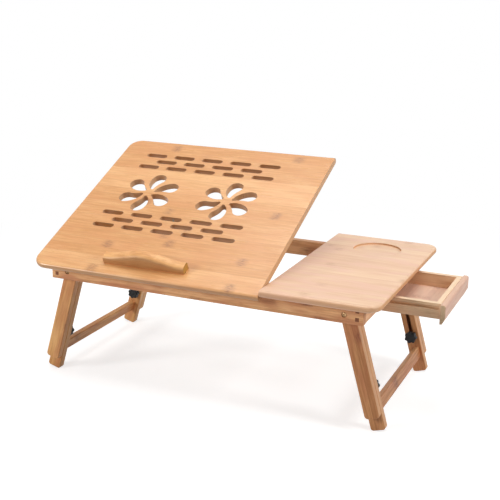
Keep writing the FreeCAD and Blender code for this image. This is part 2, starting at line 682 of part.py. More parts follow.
def cross_rail(end):
    """Front or rear rail with its mortises, pivot bores and screw holes."""
    rail = Piece(end + "_rail", "stand")
    outer, inner = ("front_y", "inner_front_y") if end == "front" else ("rear_y", "inner_rear_y")
    low, high = sorted((outer, inner), key=number)
    rail.add("XY", "rail_low", "rail_height", rect("-side_x", "side_x", low, high))
    rail.round("rail_round", lambda e: (runs(e, "X") and near(middle(e).z, "rail_low"))
               or (runs(e, "Z") and near(middle(e).y, outer)))
    hole = "tenon_size + 2 * wood_gap"
    deep = "rail_thick + 2 * cut_past"
    mortises = [square(side + "rail_mid_x", z, hole) for side in ("-", "") for z in TENON_HEIGHTS]
    rail.cut("XZ", inward(end, "-rail_thick - cut_past", deep), deep, *mortises)
    deep = "stub_length + wood_gap"
    rail.cut("XZ", inward(end, "-(%s)" % deep, deep), deep,
             square(DIVIDER_MID_X, DIVIDER_MID_Z, "stub_size + 2 * wood_gap"))
    deep = "bolt_head_high + cut_past"
    heads = [circle(side + "pivot_x", "pivot_z", "bolt_head_radius + screw_gap") for side in ("-", "")]
    rail.cut("XZ", inward(end, "-rail_thick - cut_past", deep), deep, *heads)
    shanks = [circle(side + "pivot_x", "pivot_z", "bolt_radius + bore_gap") for side in ("-", "")]
    deep = "rail_thick + 2 * cut_past"
    rail.cut("XZ", inward(end, "-rail_thick - cut_past", deep), deep, *shanks)
    top_screw_holes(rail, "rail_low", CROSS_RAIL_SCREWS[end])
    if end == "front":
        hinge_seats(rail)


def hinge_seats(rail):
    """Seats for the lower hinge leaves in the front rail's upper edge."""
    half = "(hinge_long / 2 + wood_gap)"
    seats = [rect("%s - %s" % (x, half), "%s + %s" % (x, half), "front_y - cut_past",
                  "front_y + hinge_leaf + wood_gap") for x in HINGE_XS]
    rail.cut("XY", "hinge_z - leaf_depth", "leaf_depth + cut_past", *seats)
    for x in HINGE_XS:
        rail.cut("YZ", "%s - %s" % (x, half), "hinge_long + 2 * wood_gap",
                 circle("front_y", "hinge_z", "knuckle_radius + knuckle_gap"))
    deep = "leaf_screw_long + wood_gap"
    rail.cut("XY", "hinge_z - hinge_inset - (%s)" % deep, deep,
             *[circle("%s %s leaf_screw_x" % (x, sign), "front_y + leaf_screw_y",
                      "leaf_screw_radius + screw_gap") for x in HINGE_XS for sign in "-+"])


def left_rail():
    """Left side rail between the front and rear rails, with through tenons."""
    rail = Piece("left_rail", "stand")
    rail.add("XY", "rail_low", "rail_height", rect("-side_x", "-inner_x", "inner_front_y", "inner_rear_y"))
    rail.round("rail_round", lambda e: runs(e, "Y") and near(middle(e).z, "rail_low")
               and near(middle(e).x, "-side_x"))
    side_tenons(rail, "front", "-rail_mid_x")
    side_tenons(rail, "rear", "-rail_mid_x")
    rack_screw_pilots(rail, "-inner_x", 1)


def side_tenons(rail, end, x):
    """Two square tenons through the front or rear rail."""
    rail.add("XZ", inward(end, "-rail_thick", "rail_thick"), "rail_thick",
             *[square(x, z, "tenon_size") for z in TENON_HEIGHTS])


def rack_screw_pilots(piece, wall, side):
    """Holes for the rack screws in the wall that carries the rack."""
    deep = "rack_screw_bite + wood_gap"
    start = offwall(wall, side, "-(%s)" % deep, deep)
    piece.cut("YZ", start, deep, *[circle(y, RACK_SCREW_Z, "rack_screw_radius + screw_gap")
                                   for y in RACK_SCREW_YS])


def right_rail(end):
    """Part of the right side rail before or behind the drawer opening."""
    rail = Piece("right_rail_" + end, "stand")
    span = ("inner_front_y", "opening_front_y") if end == "front" else ("opening_rear_y", "inner_rear_y")
    rail.add("XY", "rail_low", "rail_height", rect("inner_x", "side_x", *span))
    rail.round("rail_round", lambda e: runs(e, "Y") and near(middle(e).z, "rail_low")
               and near(middle(e).x, "side_x"))
    side_tenons(rail, end, "rail_mid_x")
    top_screw_holes(rail, "rail_low", SIDE_SCREWS[end])


def divider_rail():
    """Cross board under the split, stub-tenoned into the front and rear rails."""
    rail = Piece("divider_rail", "stand")
    rail.add("XY", "divider_low", "divider_height",
             rect("split_x", "divider_right", "inner_front_y", "inner_rear_y"))
    for end in ("front", "rear"):
        rail.add("XZ", inward(end, "-stub_length", "stub_length"), "stub_length",
                 square(DIVIDER_MID_X, DIVIDER_MID_Z, "stub_size"))
    top_screw_holes(rail, "divider_low", DIVIDER_SCREWS)
    rack_screw_pilots(rail, "split_x", -1)


def outer_edge(edge, split, low):
    """Whether an edge belongs to a board's outline, apart from the side at the split."""
    flat = edge.BoundBox.ZLength < 0.02
    level = near(middle(edge).z, low) or near(middle(edge).z, "%s + plate_thick" % low)
    return flat and level and not (runs(edge, "Y") and near(middle(edge).x, split))


def fixed_top():
    """Fixed board on the right with its round cup recess."""
    top = Piece("fixed_top", "stand")
    top.add("XY", "under_z", "plate_thick",
            rect("fixed_left", "plate_width / 2", "-plate_depth / 2", "plate_depth / 2"))
    top.round("plate_corner", lambda e: runs(e, "Z") and near(middle(e).x, "plate_width / 2"))
    top.round("plate_round", lambda e: outer_edge(e, "fixed_left", "under_z"))
    top.cut("XY", "top_height - cup_deep", "cup_deep + cut_past", circle("cup_x", "cup_y", "cup_radius"))
    top.cut("XY", "under_z - cut_past", "top_screw_bite + wood_gap + cut_past",
            *[circle(x, y, "top_screw_radius + screw_gap") for x, y in TOP_SCREWS])


def runner(end):
    """Slat under the fixed board with a tongue in the drawer's groove."""
    slat = Piece("runner_" + end, "stand")
    if end == "front":
        body = ("runner_front_y - runner_thick", "runner_front_y")
        tongue = ("runner_front_y - cut_past", "runner_front_y + tongue_reach")
    else:
        body = ("runner_rear_y", "runner_rear_y + runner_thick")
        tongue = ("runner_rear_y - tongue_reach", "runner_rear_y + cut_past")
    slat.add("XY", "divider_low", "divider_height", rect("divider_right", "inner_x", *body))
    slat.add("XY", "box_low + groove_low + tongue_gap", "groove_high - 2 * tongue_gap",
             rect("divider_right", "inner_x", *tongue))
    top_screw_holes(slat, "divider_low", RUNNER_SCREWS[end])


def rack(label, wall, side):
    """Notched strip that takes one end of the prop's foot bar."""
    strip = Piece(label, "stand")
    start = offwall(wall, side, "0", "rack_thick")
    span = rect("notch_y - rack_front", "notch_y + rack_back", "rack_low", "rack_top")
    strip.add("YZ", start, "rack_thick", span)
    wide = "2 * (wire_radius + notch_gap)"
    bottom = "(notch_z - wire_radius - notch_gap)"
    top = "(rack_top + %s)" % wide
    notch = slot("notch_y - notch_distance", "(%s + %s) / 2" % (bottom, top),
                 "%s - %s" % (top, bottom), wide, upright=True)
    first = strip.cut("YZ", "%s - cut_past" % start, "rack_thick + 2 * cut_past", notch)
    strip.repeat(first, ("Y", NOTCHES, "notch_distance"))
    strip.cut("YZ", "%s - cut_past" % start, "rack_thick + 2 * cut_past",
              *[circle(y, RACK_SCREW_Z, "rack_screw_radius + screw_gap") for y in RACK_SCREW_YS])
    strip.cut("YZ", offwall(wall, side, "rack_thick - rack_head_high", "rack_head_high"), "rack_head_high",
              *[circle(y, RACK_SCREW_Z, "rack_head_radius + screw_gap") for y in RACK_SCREW_YS])


def top_screws():
    """Wood screws that hold the fixed board from below."""
    screws = Piece("top_screws", "stand")
    screws.add("XY", "top_seat_z", "top_screw_grip + top_screw_bite",
               *[circle(x, y, "top_screw_radius") for x, y in TOP_SCREWS])
    screws.add("XY", "top_seat_z - top_head_high", "top_head_high",
               *[circle(x, y, "top_head_radius") for x, y in TOP_SCREWS])


def rack_screws():
    """Wood screws that hold the two racks."""
    screws = Piece("rack_screws", "stand")
    for wall, side in RACK_WALLS:
        long = "rack_screw_bite + rack_thick - rack_head_high"
        screws.add("YZ", offwall(wall, side, "-rack_screw_bite", long), long,
                   *[circle(y, RACK_SCREW_Z, "rack_screw_radius") for y in RACK_SCREW_YS])
        screws.add("YZ", offwall(wall, side, "rack_thick - rack_head_high", "rack_head_high"),
                   "rack_head_high", *[circle(y, RACK_SCREW_Z, "rack_head_radius") for y in RACK_SCREW_YS])


def pivot_hardware():
    """Bolts, washers and nuts on which the legs fold."""
    bolts = Piece("pivot_bolts", "stand")
    washers = Piece("pivot_washers", "stand")
    nuts = Piece("pivot_nuts", "stand")
    sides = ("-pivot_x", "pivot_x")
    for end in ("front", "rear"):
        bolts.add("XZ", inward(end, "-rail_thick", "bolt_head_high"), "bolt_head_high",
                  *[circle(x, "pivot_z", "bolt_head_radius") for x in sides])
        long = "rail_thick - bolt_head_high + bolt_end"
        bolts.add("XZ", inward(end, "bolt_head_high - rail_thick", long), long,
                  *[circle(x, "pivot_z", "bolt_radius") for x in sides])
        bolts.cut("XZ", inward(end, "-rail_thick", "cross_deep"), "cross_deep",
                  *[cross(x, "pivot_z", "cross_long", "cross_wide") for x in sides])
        washers.add("XZ", inward(end, "nut_washer_near", "washer_thick"), "washer_thick",
                    *[ring(x, "pivot_z", "washer_radius", "bolt_radius + bore_gap") for x in sides])
        nuts.add("XZ", inward(end, "nut_near", "nut_thick"), "nut_thick",
                 *[hexagon(x, "pivot_z", "nut_flats") for x in sides])
        nuts.cut("XZ", inward(end, "nut_near", "nut_thick"), "nut_thick",
                 *[circle(x, "pivot_z", "bolt_radius + bore_gap") for x in sides])


# Hinges ----------------------------------------------------------------------------------

def hinge_leaf(label, frame, x, upper):
    """A hinge leaf with its knuckles; the upper leaf has the middle knuckle."""
    leaf = Piece(label, frame)
    low = "hinge_inset" if upper else "-leaf_depth"
    clear = "knuckle_radius + knuckle_gap"
    leaf.add("XY", low, "hinge_thick",
             rect("%s - hinge_long / 2" % x, "%s + hinge_long / 2" % x, clear, "hinge_leaf"))
    play = "(knuckle_third - face_gap / 2)" if upper else "(knuckle_third + face_gap / 2)"
    if upper:
        spans = [("%s - %s" % (x, play), "%s + %s" % (x, play), "2 * %s" % play)]
    else:
        long = "hinge_long / 2 - %s" % play
        spans = [("%s - hinge_long / 2" % x, "%s - %s" % (x, play), long),
                 ("%s + %s" % (x, play), "%s + hinge_long / 2" % x, long)]
    leaf.add("XY", low, "hinge_thick", *[rect(a, b, "0", clear) for a, b, _ in spans])
    for start, _, long in spans:
        leaf.add("YZ", start, long, circle("0", "0", "knuckle_radius"))
    for start, _, long in spans:
        leaf.cut("YZ", start, long, circle("0", "0", "hinge_pin_radius + bore_gap"))
    leaf.cut("XY", low, "hinge_thick", *[circle("%s %s leaf_screw_x" % (x, sign), "leaf_screw_y",
                                                "leaf_screw_radius + screw_gap") for sign in "-+"])


def hinge_pins():
    """Pins through the knuckles of both hinges."""
    pins = Piece("hinge_pins", "hinge")
    for x in HINGE_XS:
        pins.add("YZ", "%s - hinge_long / 2" % x, "hinge_long", circle("0", "0", "hinge_pin_radius"))


def leaf_screws(label, frame, upper):
    """Small screws through the lower or the upper hinge leaves."""
    screws = Piece(label, frame)
    places = [("%s %s leaf_screw_x" % (x, sign), "leaf_screw_y") for x in HINGE_XS for sign in "-+"]
    shank = "hinge_inset" if upper else "-hinge_inset - leaf_screw_long"
    head = "hinge_inset - leaf_head_high" if upper else "-hinge_inset"
    screws.add("XY", shank, "leaf_screw_long", *[circle(x, y, "leaf_screw_radius") for x, y in places])
    screws.add("XY", head, "leaf_head_high", *[circle(x, y, "leaf_head_radius") for x, y in places])


# Tilting board ---------------------------------------------------------------------------

def tilt_top():
    """Vented board that tilts about its front hinges."""
    board = Piece("tilt_top", "board")
    board.add("XY", "0", "plate_thick", rect("-plate_width / 2", "tilt_right", "-front_overhang",
                                             "plate_depth - front_overhang"))
    board.round("plate_corner", lambda e: runs(e, "Z") and near(middle(e).x, "-plate_width / 2"))
    board.round("plate_round", lambda e: outer_edge(e, "tilt_right", "0"))
    vents(board)
    flowers(board)
    upper_hinge_seats(board)
    board.cut("XY", "-cut_past", "face_gap + top_head_high + cut_past",
              *[circle(x, STOPPER_MID_Y, "top_head_radius + screw_gap") for x in STOPPER_SCREW_XS])
    board.cut("XY", "0", "plate_thick + cut_past",
              *[circle(x, STOPPER_MID_Y, "top_screw_radius + screw_gap") for x in STOPPER_SCREW_XS])
    board.cut("XY", "-cut_past", "clip_screw_bite + wood_gap + cut_past",
              *[circle(x, y, "clip_screw_radius + screw_gap") for x, y in CLIP_SCREWS])


def vent_row(board, count, height, *more):
    """A row of slots centred on the pattern, and its copies."""
    first = "vent_centre_x - vent_distance * (%d - 1) / 2" % count
    slots = board.cut("XY", "-cut_past", "plate_thick + 2 * cut_past",
                      slot(first, height, "vent_long", "vent_wide"))
    groups = ("Y", 2, "vent_upper_height - vent_lower_height")
    board.repeat(slots, ("X", count, "vent_distance"), *more, groups)


def vents(board):
    """A group of three rows above the flowers and another below, the middle rows shorter."""
    vent_row(board, VENTS_IN_LONG_ROW, "vent_lower_height - vent_row_distance",
             ("Y", 2, "2 * vent_row_distance"))
    vent_row(board, VENTS_IN_SHORT_ROW, "vent_lower_height")


def flowers(board):
    """Flowers of comma-shaped openings."""
    first = board.cut("XY", "-cut_past", "plate_thick + 2 * cut_past", petal(), turn="petal_turn",
                      at=("vent_centre_x - flower_distance / 2", "flower_height"))
    centre = (first.Profile[0], ["N_Axis"])
    board.repeat(first, (centre, PETALS), ("X", FLOWERS, "flower_distance"))


def upper_hinge_seats(board):
    """Seats for the upper hinge leaves in the board's underside."""
    half = "(hinge_long / 2 + wood_gap)"
    seats = [rect("%s - %s" % (x, half), "%s + %s" % (x, half), "0", "hinge_leaf + wood_gap")
             for x in HINGE_XS]
    board.cut("XY", "-cut_past", "leaf_depth + cut_past", *seats)
    for x in HINGE_XS:
        board.cut("YZ", "%s - %s" % (x, half), "hinge_long + 2 * wood_gap",
                  circle("0", "0", "knuckle_radius + knuckle_gap"))
    holes = [circle("%s %s leaf_screw_x" % (x, sign), "leaf_screw_y", "leaf_screw_radius + screw_gap")
             for x in HINGE_XS for sign in "-+"]
    board.cut("XY", "0", "hinge_inset + leaf_screw_long + wood_gap", *holes)


def stopper():
    """Ledge on the board's front edge, with shoulders that rise to its middle."""
    ledge = Piece("stopper", "board")
    low, high = "plate_thick + stopper_low", "plate_thick + stopper_high"
    ledge.add("XZ", "stopper_front", "stopper_deep", outline(
        ("stopper_x - stopper_long / 2", "plate_thick"),
        ("stopper_x + stopper_long / 2", "plate_thick"),
        ("stopper_x + stopper_long / 2", low),
        ("stopper_x + stopper_ramp_out", low),
        ("stopper_x + stopper_ramp_in", high),
        ("stopper_x - stopper_ramp_in", high),
        ("stopper_x - stopper_ramp_out", low),
        ("stopper_x - stopper_long / 2", low)))
    ledge.round("stopper_shoulder", lambda e: runs(e, "Y") and abs(
        middle(e).x - number("stopper_x")) < number("stopper_ramp_out") + CLOSE)
    for radius, face in (("stopper_crown", "stopper_front"),
                         ("stopper_round", "stopper_front + stopper_deep")):
        ledge.round(radius, lambda e: across(e) and middle(e).z > number(low) - CLOSE
                    and near(middle(e).y, face))
    ledge.round("stopper_foot", lambda e: across(e) and near(middle(e).z, "plate_thick")
                and near(middle(e).y, "stopper_front"))
    ledge.cut("XY", "plate_thick - cut_past", "stopper_screw_bite + wood_gap + cut_past",
              *[circle(x, STOPPER_MID_Y, "top_screw_radius + screw_gap") for x in STOPPER_SCREW_XS])


def stopper_screws():
    """Two screws that hold the stopper through the board."""
    screws = Piece("stopper_screws", "board")
    shank = "plate_thick - face_gap - top_head_high + stopper_screw_bite"
    screws.add("XY", "face_gap + top_head_high", shank,
               *[circle(x, STOPPER_MID_Y, "top_screw_radius") for x in STOPPER_SCREW_XS])
    screws.add("XY", "face_gap", "top_head_high",
               *[circle(x, STOPPER_MID_Y, "top_head_radius") for x in STOPPER_SCREW_XS])


def clip(label, x):
    """Saddle under the board in which the prop's wire turns."""
    saddle = Piece(label, "board")
    saddle.add("YZ", "%s - clip_width / 2" % x, "clip_width", outline(
        ("prop_slope - clip_long / 2", "0"),
        ("prop_slope - clip_long / 2", "-clip_wing"),
        ("prop_slope - clip_hump / 2", "-clip_wing"),
        ("prop_slope - clip_hump / 2", "-clip_high"),
        ("prop_slope + clip_hump / 2", "-clip_high"),
        ("prop_slope + clip_hump / 2", "-clip_wing"),
        ("prop_slope + clip_long / 2", "-clip_wing"),
        ("prop_slope + clip_long / 2", "0")))
    saddle.round("clip_round", lambda e: runs(e, "X") and near(middle(e).z, "-clip_high"))
    saddle.cut("YZ", "%s - clip_width / 2" % x, "clip_width",
               circle("prop_slope", "-prop_under", "wire_radius + bore_gap"))
    saddle.cut("XY", "-clip_wing", "clip_wing",
               *[circle(x, y, "clip_screw_radius + screw_gap") for y in CLIP_SCREW_YS])


def clip_screws():
    """Screws that hold the clips under the board."""
    screws = Piece("clip_screws", "board")
    screws.add("XY", "-clip_wing", "clip_wing + clip_screw_bite",
               *[circle(x, y, "clip_screw_radius") for x, y in CLIP_SCREWS])
    screws.add("XY", "-clip_wing - clip_head_high", "clip_head_high",
               *[circle(x, y, "clip_head_radius") for x, y in CLIP_SCREWS])


# Prop ------------------------------------------------------------------------------------

def wire_run(name, axis, x, y, length):
    """A straight run of the prop's wire along X or Y."""
    run = DOC.addObject("Part::Cylinder", name)
    bind(run, "Radius", "wire_radius")
    bind(run, "Height", length)
    spin = FreeCAD.Rotation(ALONG_Y, 90) if axis == "X" else FreeCAD.Rotation(ALONG_X, -90)
    run.Placement = FreeCAD.Placement(Vector(), spin)
    bind(run, "Placement.Base.x", x)
    bind(run, "Placement.Base.y", y)
    return run


def wire_elbow(name, x, y, first):
    """A quarter bend of the wire about a centre, from a first angle onwards."""
    elbow = DOC.addObject("Part::Torus", name)
    bind(elbow, "Radius1", "wire_bend")
    bind(elbow, "Radius2", "wire_radius")
    elbow.Angle3 = 90
    elbow.Placement = FreeCAD.Placement(Vector(), FreeCAD.Rotation(Vector(0, 0, 1), first))
    bind(elbow, "Placement.Base.x", x)
    bind(elbow, "Placement.Base.y", y)
    return elbow


def prop_bracket():
    """Bent wire that turns in the clips and stands with its foot bar in the racks."""
    far_left, far_right = "rack_left_x + prop_end_gap", "rack_right_x - prop_end_gap"
    foot = "-prop_length"
    bracket = DOC.addObject("Part::MultiFuse", "prop_bracket")
    bracket.Shapes = [
        wire_run("foot_left", "X", far_left, foot, "prop_left - wire_bend - (%s)" % far_left),
        wire_elbow("bend_foot_left", "prop_left - wire_bend", "wire_bend - prop_length", -90),
        wire_run("arm_left", "Y", "prop_left", "wire_bend - prop_length", "prop_length - 2 * wire_bend"),
        wire_elbow("bend_arm_left", "prop_left + wire_bend", "-wire_bend", 90),
        wire_run("bar", "X", "prop_left + wire_bend", "0", "prop_right - prop_left - 2 * wire_bend"),
        wire_elbow("bend_arm_right", "prop_right - wire_bend", "-wire_bend", 0),
        wire_run("arm_right", "Y", "prop_right", "wire_bend - prop_length", "prop_length - 2 * wire_bend"),
        wire_elbow("bend_foot_right", "prop_right + wire_bend", "wire_bend - prop_length", 180),
        wire_run("foot_right", "X", "prop_right + wire_bend", foot,
                 "%s - prop_right - wire_bend" % far_right),
    ]
    bracket.Label = "prop_bracket"
    place(bracket, "prop")
    PIECES.append(bracket)


# Legs ------------------------------------------------------------------------------------

def flat_edges(start, thick):
    """A test for the edges of a leg board's two broad faces."""
    def wanted(edge):
        faces = (start, "%s + %s" % (start, thick))
        return across(edge) and any(near(middle(edge).y, face) for face in faces)
    return wanted


def leg(side, end):
    """Upper leg board, which folds on the pivot bolt and holds the clamp stud."""
    board = Piece("%s_%s_leg" % (side, end), side + "_leg")
    start = inward(end, "leg_gap", "leg_thick")
    board.add("XZ", start, "leg_thick", rect("-leg_width / 2", "leg_width / 2", "-leg_length", "0"))
    board.add("XZ", start, "leg_thick", circle("0", "0", "leg_width / 2"))
    board.round("leg_corner", lambda e: runs(e, "Y") and near(middle(e).z, "-leg_length"))
    board.round("leg_round", flat_edges(start, "leg_thick"))
    board.cut("XZ", start, "leg_thick", circle("0", "0", "bolt_radius + bore_gap"))
    deep = "stud_set + wood_gap"
    board.cut("XZ", inward(end, "stud_near - wood_gap", deep), deep,
              circle("0", "-bolt_drop", "bolt_radius + screw_gap"))


def stretcher_section(side, slack):
    """The stretcher's tenon section, grown by a glue line where it is cut into a foot."""
    out = "-stretcher_out" if side == "left" else "stretcher_out"
    half = "(stretcher_thick / 2 - tenon_shoulder + %s)" % slack
    rise = "(stretcher_high / 2 - tenon_shoulder + %s)" % slack
    return rect("%s - %s" % (out, half), "%s + %s" % (out, half),
                "-stretcher_drop - %s" % rise, "-stretcher_drop + %s" % rise)


def foot(side, end):
    """Lower leg board, which slides on the clamp stud along its slot."""
    board = Piece("%s_%s_foot" % (side, end), side + "_leg")
    start = inward(end, "foot_near", "leg_thick")
    board.add("XZ", start, "leg_thick", rect("-leg_width / 2", "leg_width / 2", "-foot_bottom", "-foot_top"))
    board.round("foot_corner", lambda e: runs(e, "Y"))
    board.round("leg_round", flat_edges(start, "leg_thick"))
    board.cut("XZ", start, "leg_thick", slot("0", "leg_travel / 2 - bolt_drop", "leg_travel + slot_width",
                                             "slot_width", upright=True))
    deep = "stretcher_tenon + wood_gap"
    board.cut("XZ", inward(end, "foot_far - (%s)" % deep, deep), deep, stretcher_section(side, "wood_gap"))


def stretcher(side):
    """Cross bar between the two lower boards of a leg pair."""
    bar = Piece(side + "_stretcher", side + "_leg")
    out = "-stretcher_out" if side == "left" else "stretcher_out"
    bar.add("XZ", "inner_front_y + foot_far", "inner_rear_y - inner_front_y - 2 * foot_far",
            rect("%s - stretcher_thick / 2" % out, "%s + stretcher_thick / 2" % out,
                 "-stretcher_drop - stretcher_high / 2", "-stretcher_drop + stretcher_high / 2"))
    bar.round("leg_round", lambda e: runs(e, "Y"))
    for end in ("front", "rear"):
        bar.add("XZ", inward(end, "foot_far - stretcher_tenon", "stretcher_tenon"), "stretcher_tenon",
                stretcher_section(side, "0"))


def clamp_hardware(side):
    """Studs set in the upper boards and the washers under the knobs."""
    studs = Piece(side + "_studs", side + "_leg")
    washers = Piece(side + "_washers", side + "_leg")
    long = "knob_near + stud_reach - stud_near"
    for end in ("front", "rear"):
        studs.add("XZ", inward(end, "stud_near", long), long, circle("0", "-bolt_drop", "bolt_radius"))
        washers.add("XZ", inward(end, "washer_near", "washer_thick"), "washer_thick",
                    ring("0", "-bolt_drop", "washer_radius", "bolt_radius + screw_gap"))


def knob(side, end):
    """Lobed knob that clamps the two leg boards."""
    grip = Piece("%s_%s_knob" % (side, end), side + "_knob")
    grip.add("XZ", inward(end, "knob_near", "knob_hub_high"), "knob_hub_high",
             circle("0", "0", "knob_hub_radius"))
    high = "knob_high - knob_hub_high"
    start = inward(end, "knob_near + knob_hub_high", high)
    lobe = grip.add("XZ", start, high, circle("knob_lobe_centre", "0", "knob_lobe_radius"))
    grip.repeat(lobe, ("Y", LOBES))
    grip.add("XZ", start, high, circle("0", "0", "knob_core_radius"))
    face = inward(end, "knob_high + knob_near", "0")
    grip.round("knob_round", lambda e: across(e) and near(middle(e).y, face))
    deep = "stud_reach + knob_bore_end"
    grip.cut("XZ", inward(end, "knob_near", deep), deep, circle("0", "0", "bolt_radius + bore_gap"))


# Drawer ----------------------------------------------------------------------------------

def drawer_panel():
    """Drawer front with a bevelled lower edge to pull by."""
    panel = Piece("drawer_panel", "drawer")
    panel.add("XZ", "drawer_y - panel_width / 2", "panel_width", outline(
        ("0", "panel_low"),
        ("panel_foot", "panel_low"),
        ("panel_thick", "panel_low + panel_bevel"),
        ("panel_thick", "panel_low + panel_height"),
        ("0", "panel_low + panel_height")))
    panel.round("panel_round", lambda e: runs(e, "Y") and near(middle(e).x, "panel_thick")
                and near(middle(e).z, "panel_low + panel_height"))
    panel.round("panel_edge", lambda e: across(e) and e.BoundBox.XMax > CLOSE
                and e.BoundBox.ZMin > number("panel_low") + CLOSE)
    panel.round("joint_edge", lambda e: runs(e, "Y") and near(middle(e).x, "0")
                and near(middle(e).z, "panel_low + panel_height"))
    panel.cut("YZ", "0", "drawer_screw_bite + wood_gap",
              *[circle(y, DRAWER_SCREW_Z, "drawer_screw_radius + screw_gap") for y in DRAWER_SCREW_YS])


def drawer_end(label, outer):
    """End wall let into the side walls, with a rebate for the bottom."""
    wall = Piece(label, "drawer")
    left, right = ("-end_thick", "0") if outer else ("-box_length", "end_thick - box_length")
    wall.add("XY", "box_low", "box_height", rect(left, right, "box_front + wall_thick - dado_deep",
                                                 "box_rear - wall_thick + dado_deep"))
    inner = ("-end_thick", "rebate_wide - end_thick") if outer else (
        "end_thick - box_length - rebate_wide", "end_thick - box_length")
    wall.cut("XY", "box_low", "bottom_thick", rect(*inner, "box_front", "box_rear"))
    if outer:
        wall.round("joint_edge", lambda e: runs(e, "Y") and near(middle(e).x, "0")
                   and near(middle(e).z, "box_low + box_height"))
        wall.cut("YZ", "-end_thick", "end_thick",
                 *[circle(y, DRAWER_SCREW_Z, "drawer_screw_radius + screw_gap") for y in DRAWER_SCREW_YS])
        wall.cut("YZ", "-end_thick", "drawer_head_high",
                 *[circle(y, DRAWER_SCREW_Z, "drawer_head_radius + screw_gap") for y in DRAWER_SCREW_YS])


def drawer_side(end):
    """Side wall with the runner groove outside and seats for ends and bottom inside."""
    wall = Piece("drawer_side_" + end, "drawer")

    def span(first, last):
        """Span in Y between two distances from the box's outside."""
        if end == "front":
            return "box_front + (%s)" % first, "box_front + (%s)" % last
        return "box_rear - (%s)" % last, "box_rear - (%s)" % first

    wall.add("XY", "box_low", "box_height", rect("-box_length", "0", *span("0", "wall_thick")))
    wall.cut("XY", "box_low + groove_low", "groove_high",
             rect("-box_length - cut_past", "-groove_stop", *span("-cut_past", "groove_deep")))
    dado = span("wall_thick - dado_deep - wood_gap", "wall_thick + cut_past")
    wall.cut("XY", "box_low - cut_past", "box_height + 2 * cut_past",
             rect("-end_thick - wood_gap", "cut_past", *dado),
             rect("-box_length - cut_past", "end_thick - box_length + wood_gap", *dado))
    wall.cut("XY", "box_low - cut_past", "bottom_thick + cut_past",
             rect("end_thick - box_length - rebate_wide - wood_gap", "rebate_wide - end_thick + wood_gap",
                  *span("wall_thick - rebate_wide", "wall_thick + cut_past")))


def drawer_bottom():
    """Thin bottom in the rebates of the walls."""
    bottom = Piece("drawer_bottom", "drawer")
    bottom.add("XY", "box_low", "bottom_thick - wood_gap", rect(
        "end_thick - box_length - rebate_wide + wood_gap", "rebate_wide - end_thick - wood_gap",
        "box_front + wall_thick - rebate_wide + wood_gap", "box_rear - wall_thick + rebate_wide - wood_gap"))


def drawer_screws():
    """Two screws from inside the box into the panel."""
    screws = Piece("drawer_screws", "drawer")
    screws.add("YZ", "drawer_head_high - end_thick", "end_thick - drawer_head_high + drawer_screw_bite",
               *[circle(y, DRAWER_SCREW_Z, "drawer_screw_radius") for y in DRAWER_SCREW_YS])
    screws.add("YZ", "-end_thick", "drawer_head_high",
               *[circle(y, DRAWER_SCREW_Z, "drawer_head_radius") for y in DRAWER_SCREW_YS])


def build_all():
    """Build every piece of the stand."""
    for end in ("front", "rear"):
        cross_rail(end)
        right_rail(end)
        runner(end)
    left_rail()
    divider_rail()
    fixed_top()
    for label, (wall, side) in zip(("rack_left", "rack_right"), RACK_WALLS):
        rack(label, wall, side)
    top_screws()
    rack_screws()
    pivot_hardware()
    for name, x in zip(("left", "right"), HINGE_XS):
        hinge_leaf("hinge_%s_lower_leaf" % name, "hinge", x, upper=False)
        hinge_leaf("hinge_%s_upper_leaf" % name, "board", x, upper=True)
    hinge_pins()
    leaf_screws("hinge_lower_screws", "hinge", upper=False)
    leaf_screws("hinge_upper_screws", "board", upper=True)
    tilt_top()
    stopper()
    stopper_screws()
    clip("clip_left", "clip_left_x")
    clip("clip_right", "clip_right_x")
    clip_screws()
    prop_bracket()
    for side in ("left", "right"):
        for end in ("front", "rear"):
            leg(side, end)
            foot(side, end)
            knob(side, end)
        stretcher(side)
        clamp_hardware(side)
    drawer_panel()
    drawer_end("drawer_end_outer", outer=True)
    drawer_end("drawer_end_inner", outer=False)
    drawer_side("front")
    drawer_side("rear")
    drawer_bottom()
    drawer_screws()


def export_all():
    """Check every object of the document, then write one STEP file for each piece."""
    DOC.recompute()
    for item in DOC.Objects:
        if "Invalid" in item.State or "Error" in item.State:
            raise RuntimeError("%s is not valid" % item.Label)
    for piece in PIECES:
        if piece.Shape.isNull() or not piece.Shape.isValid():
            raise RuntimeError("%s has no valid shape" % piece.Label)
    os.makedirs("parts", exist_ok=True)
    for piece in PIECES:
        piece.Shape.exportStep("parts/%s.step" % piece.Label)


write_sheets()
build_all()
export_all()
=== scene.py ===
"""Dressed scene of the folding laptop stand with its side drawer.

Lengths are in metres.  X runs to the right, Y to the back, Z up from the floor.
"""

import json
import logging
import math
from dataclasses import dataclass, field, replace
from enum import Enum
from typing import Callable, Optional, Sequence, Union

import bmesh
import bpy
from mathutils import Matrix, Vector

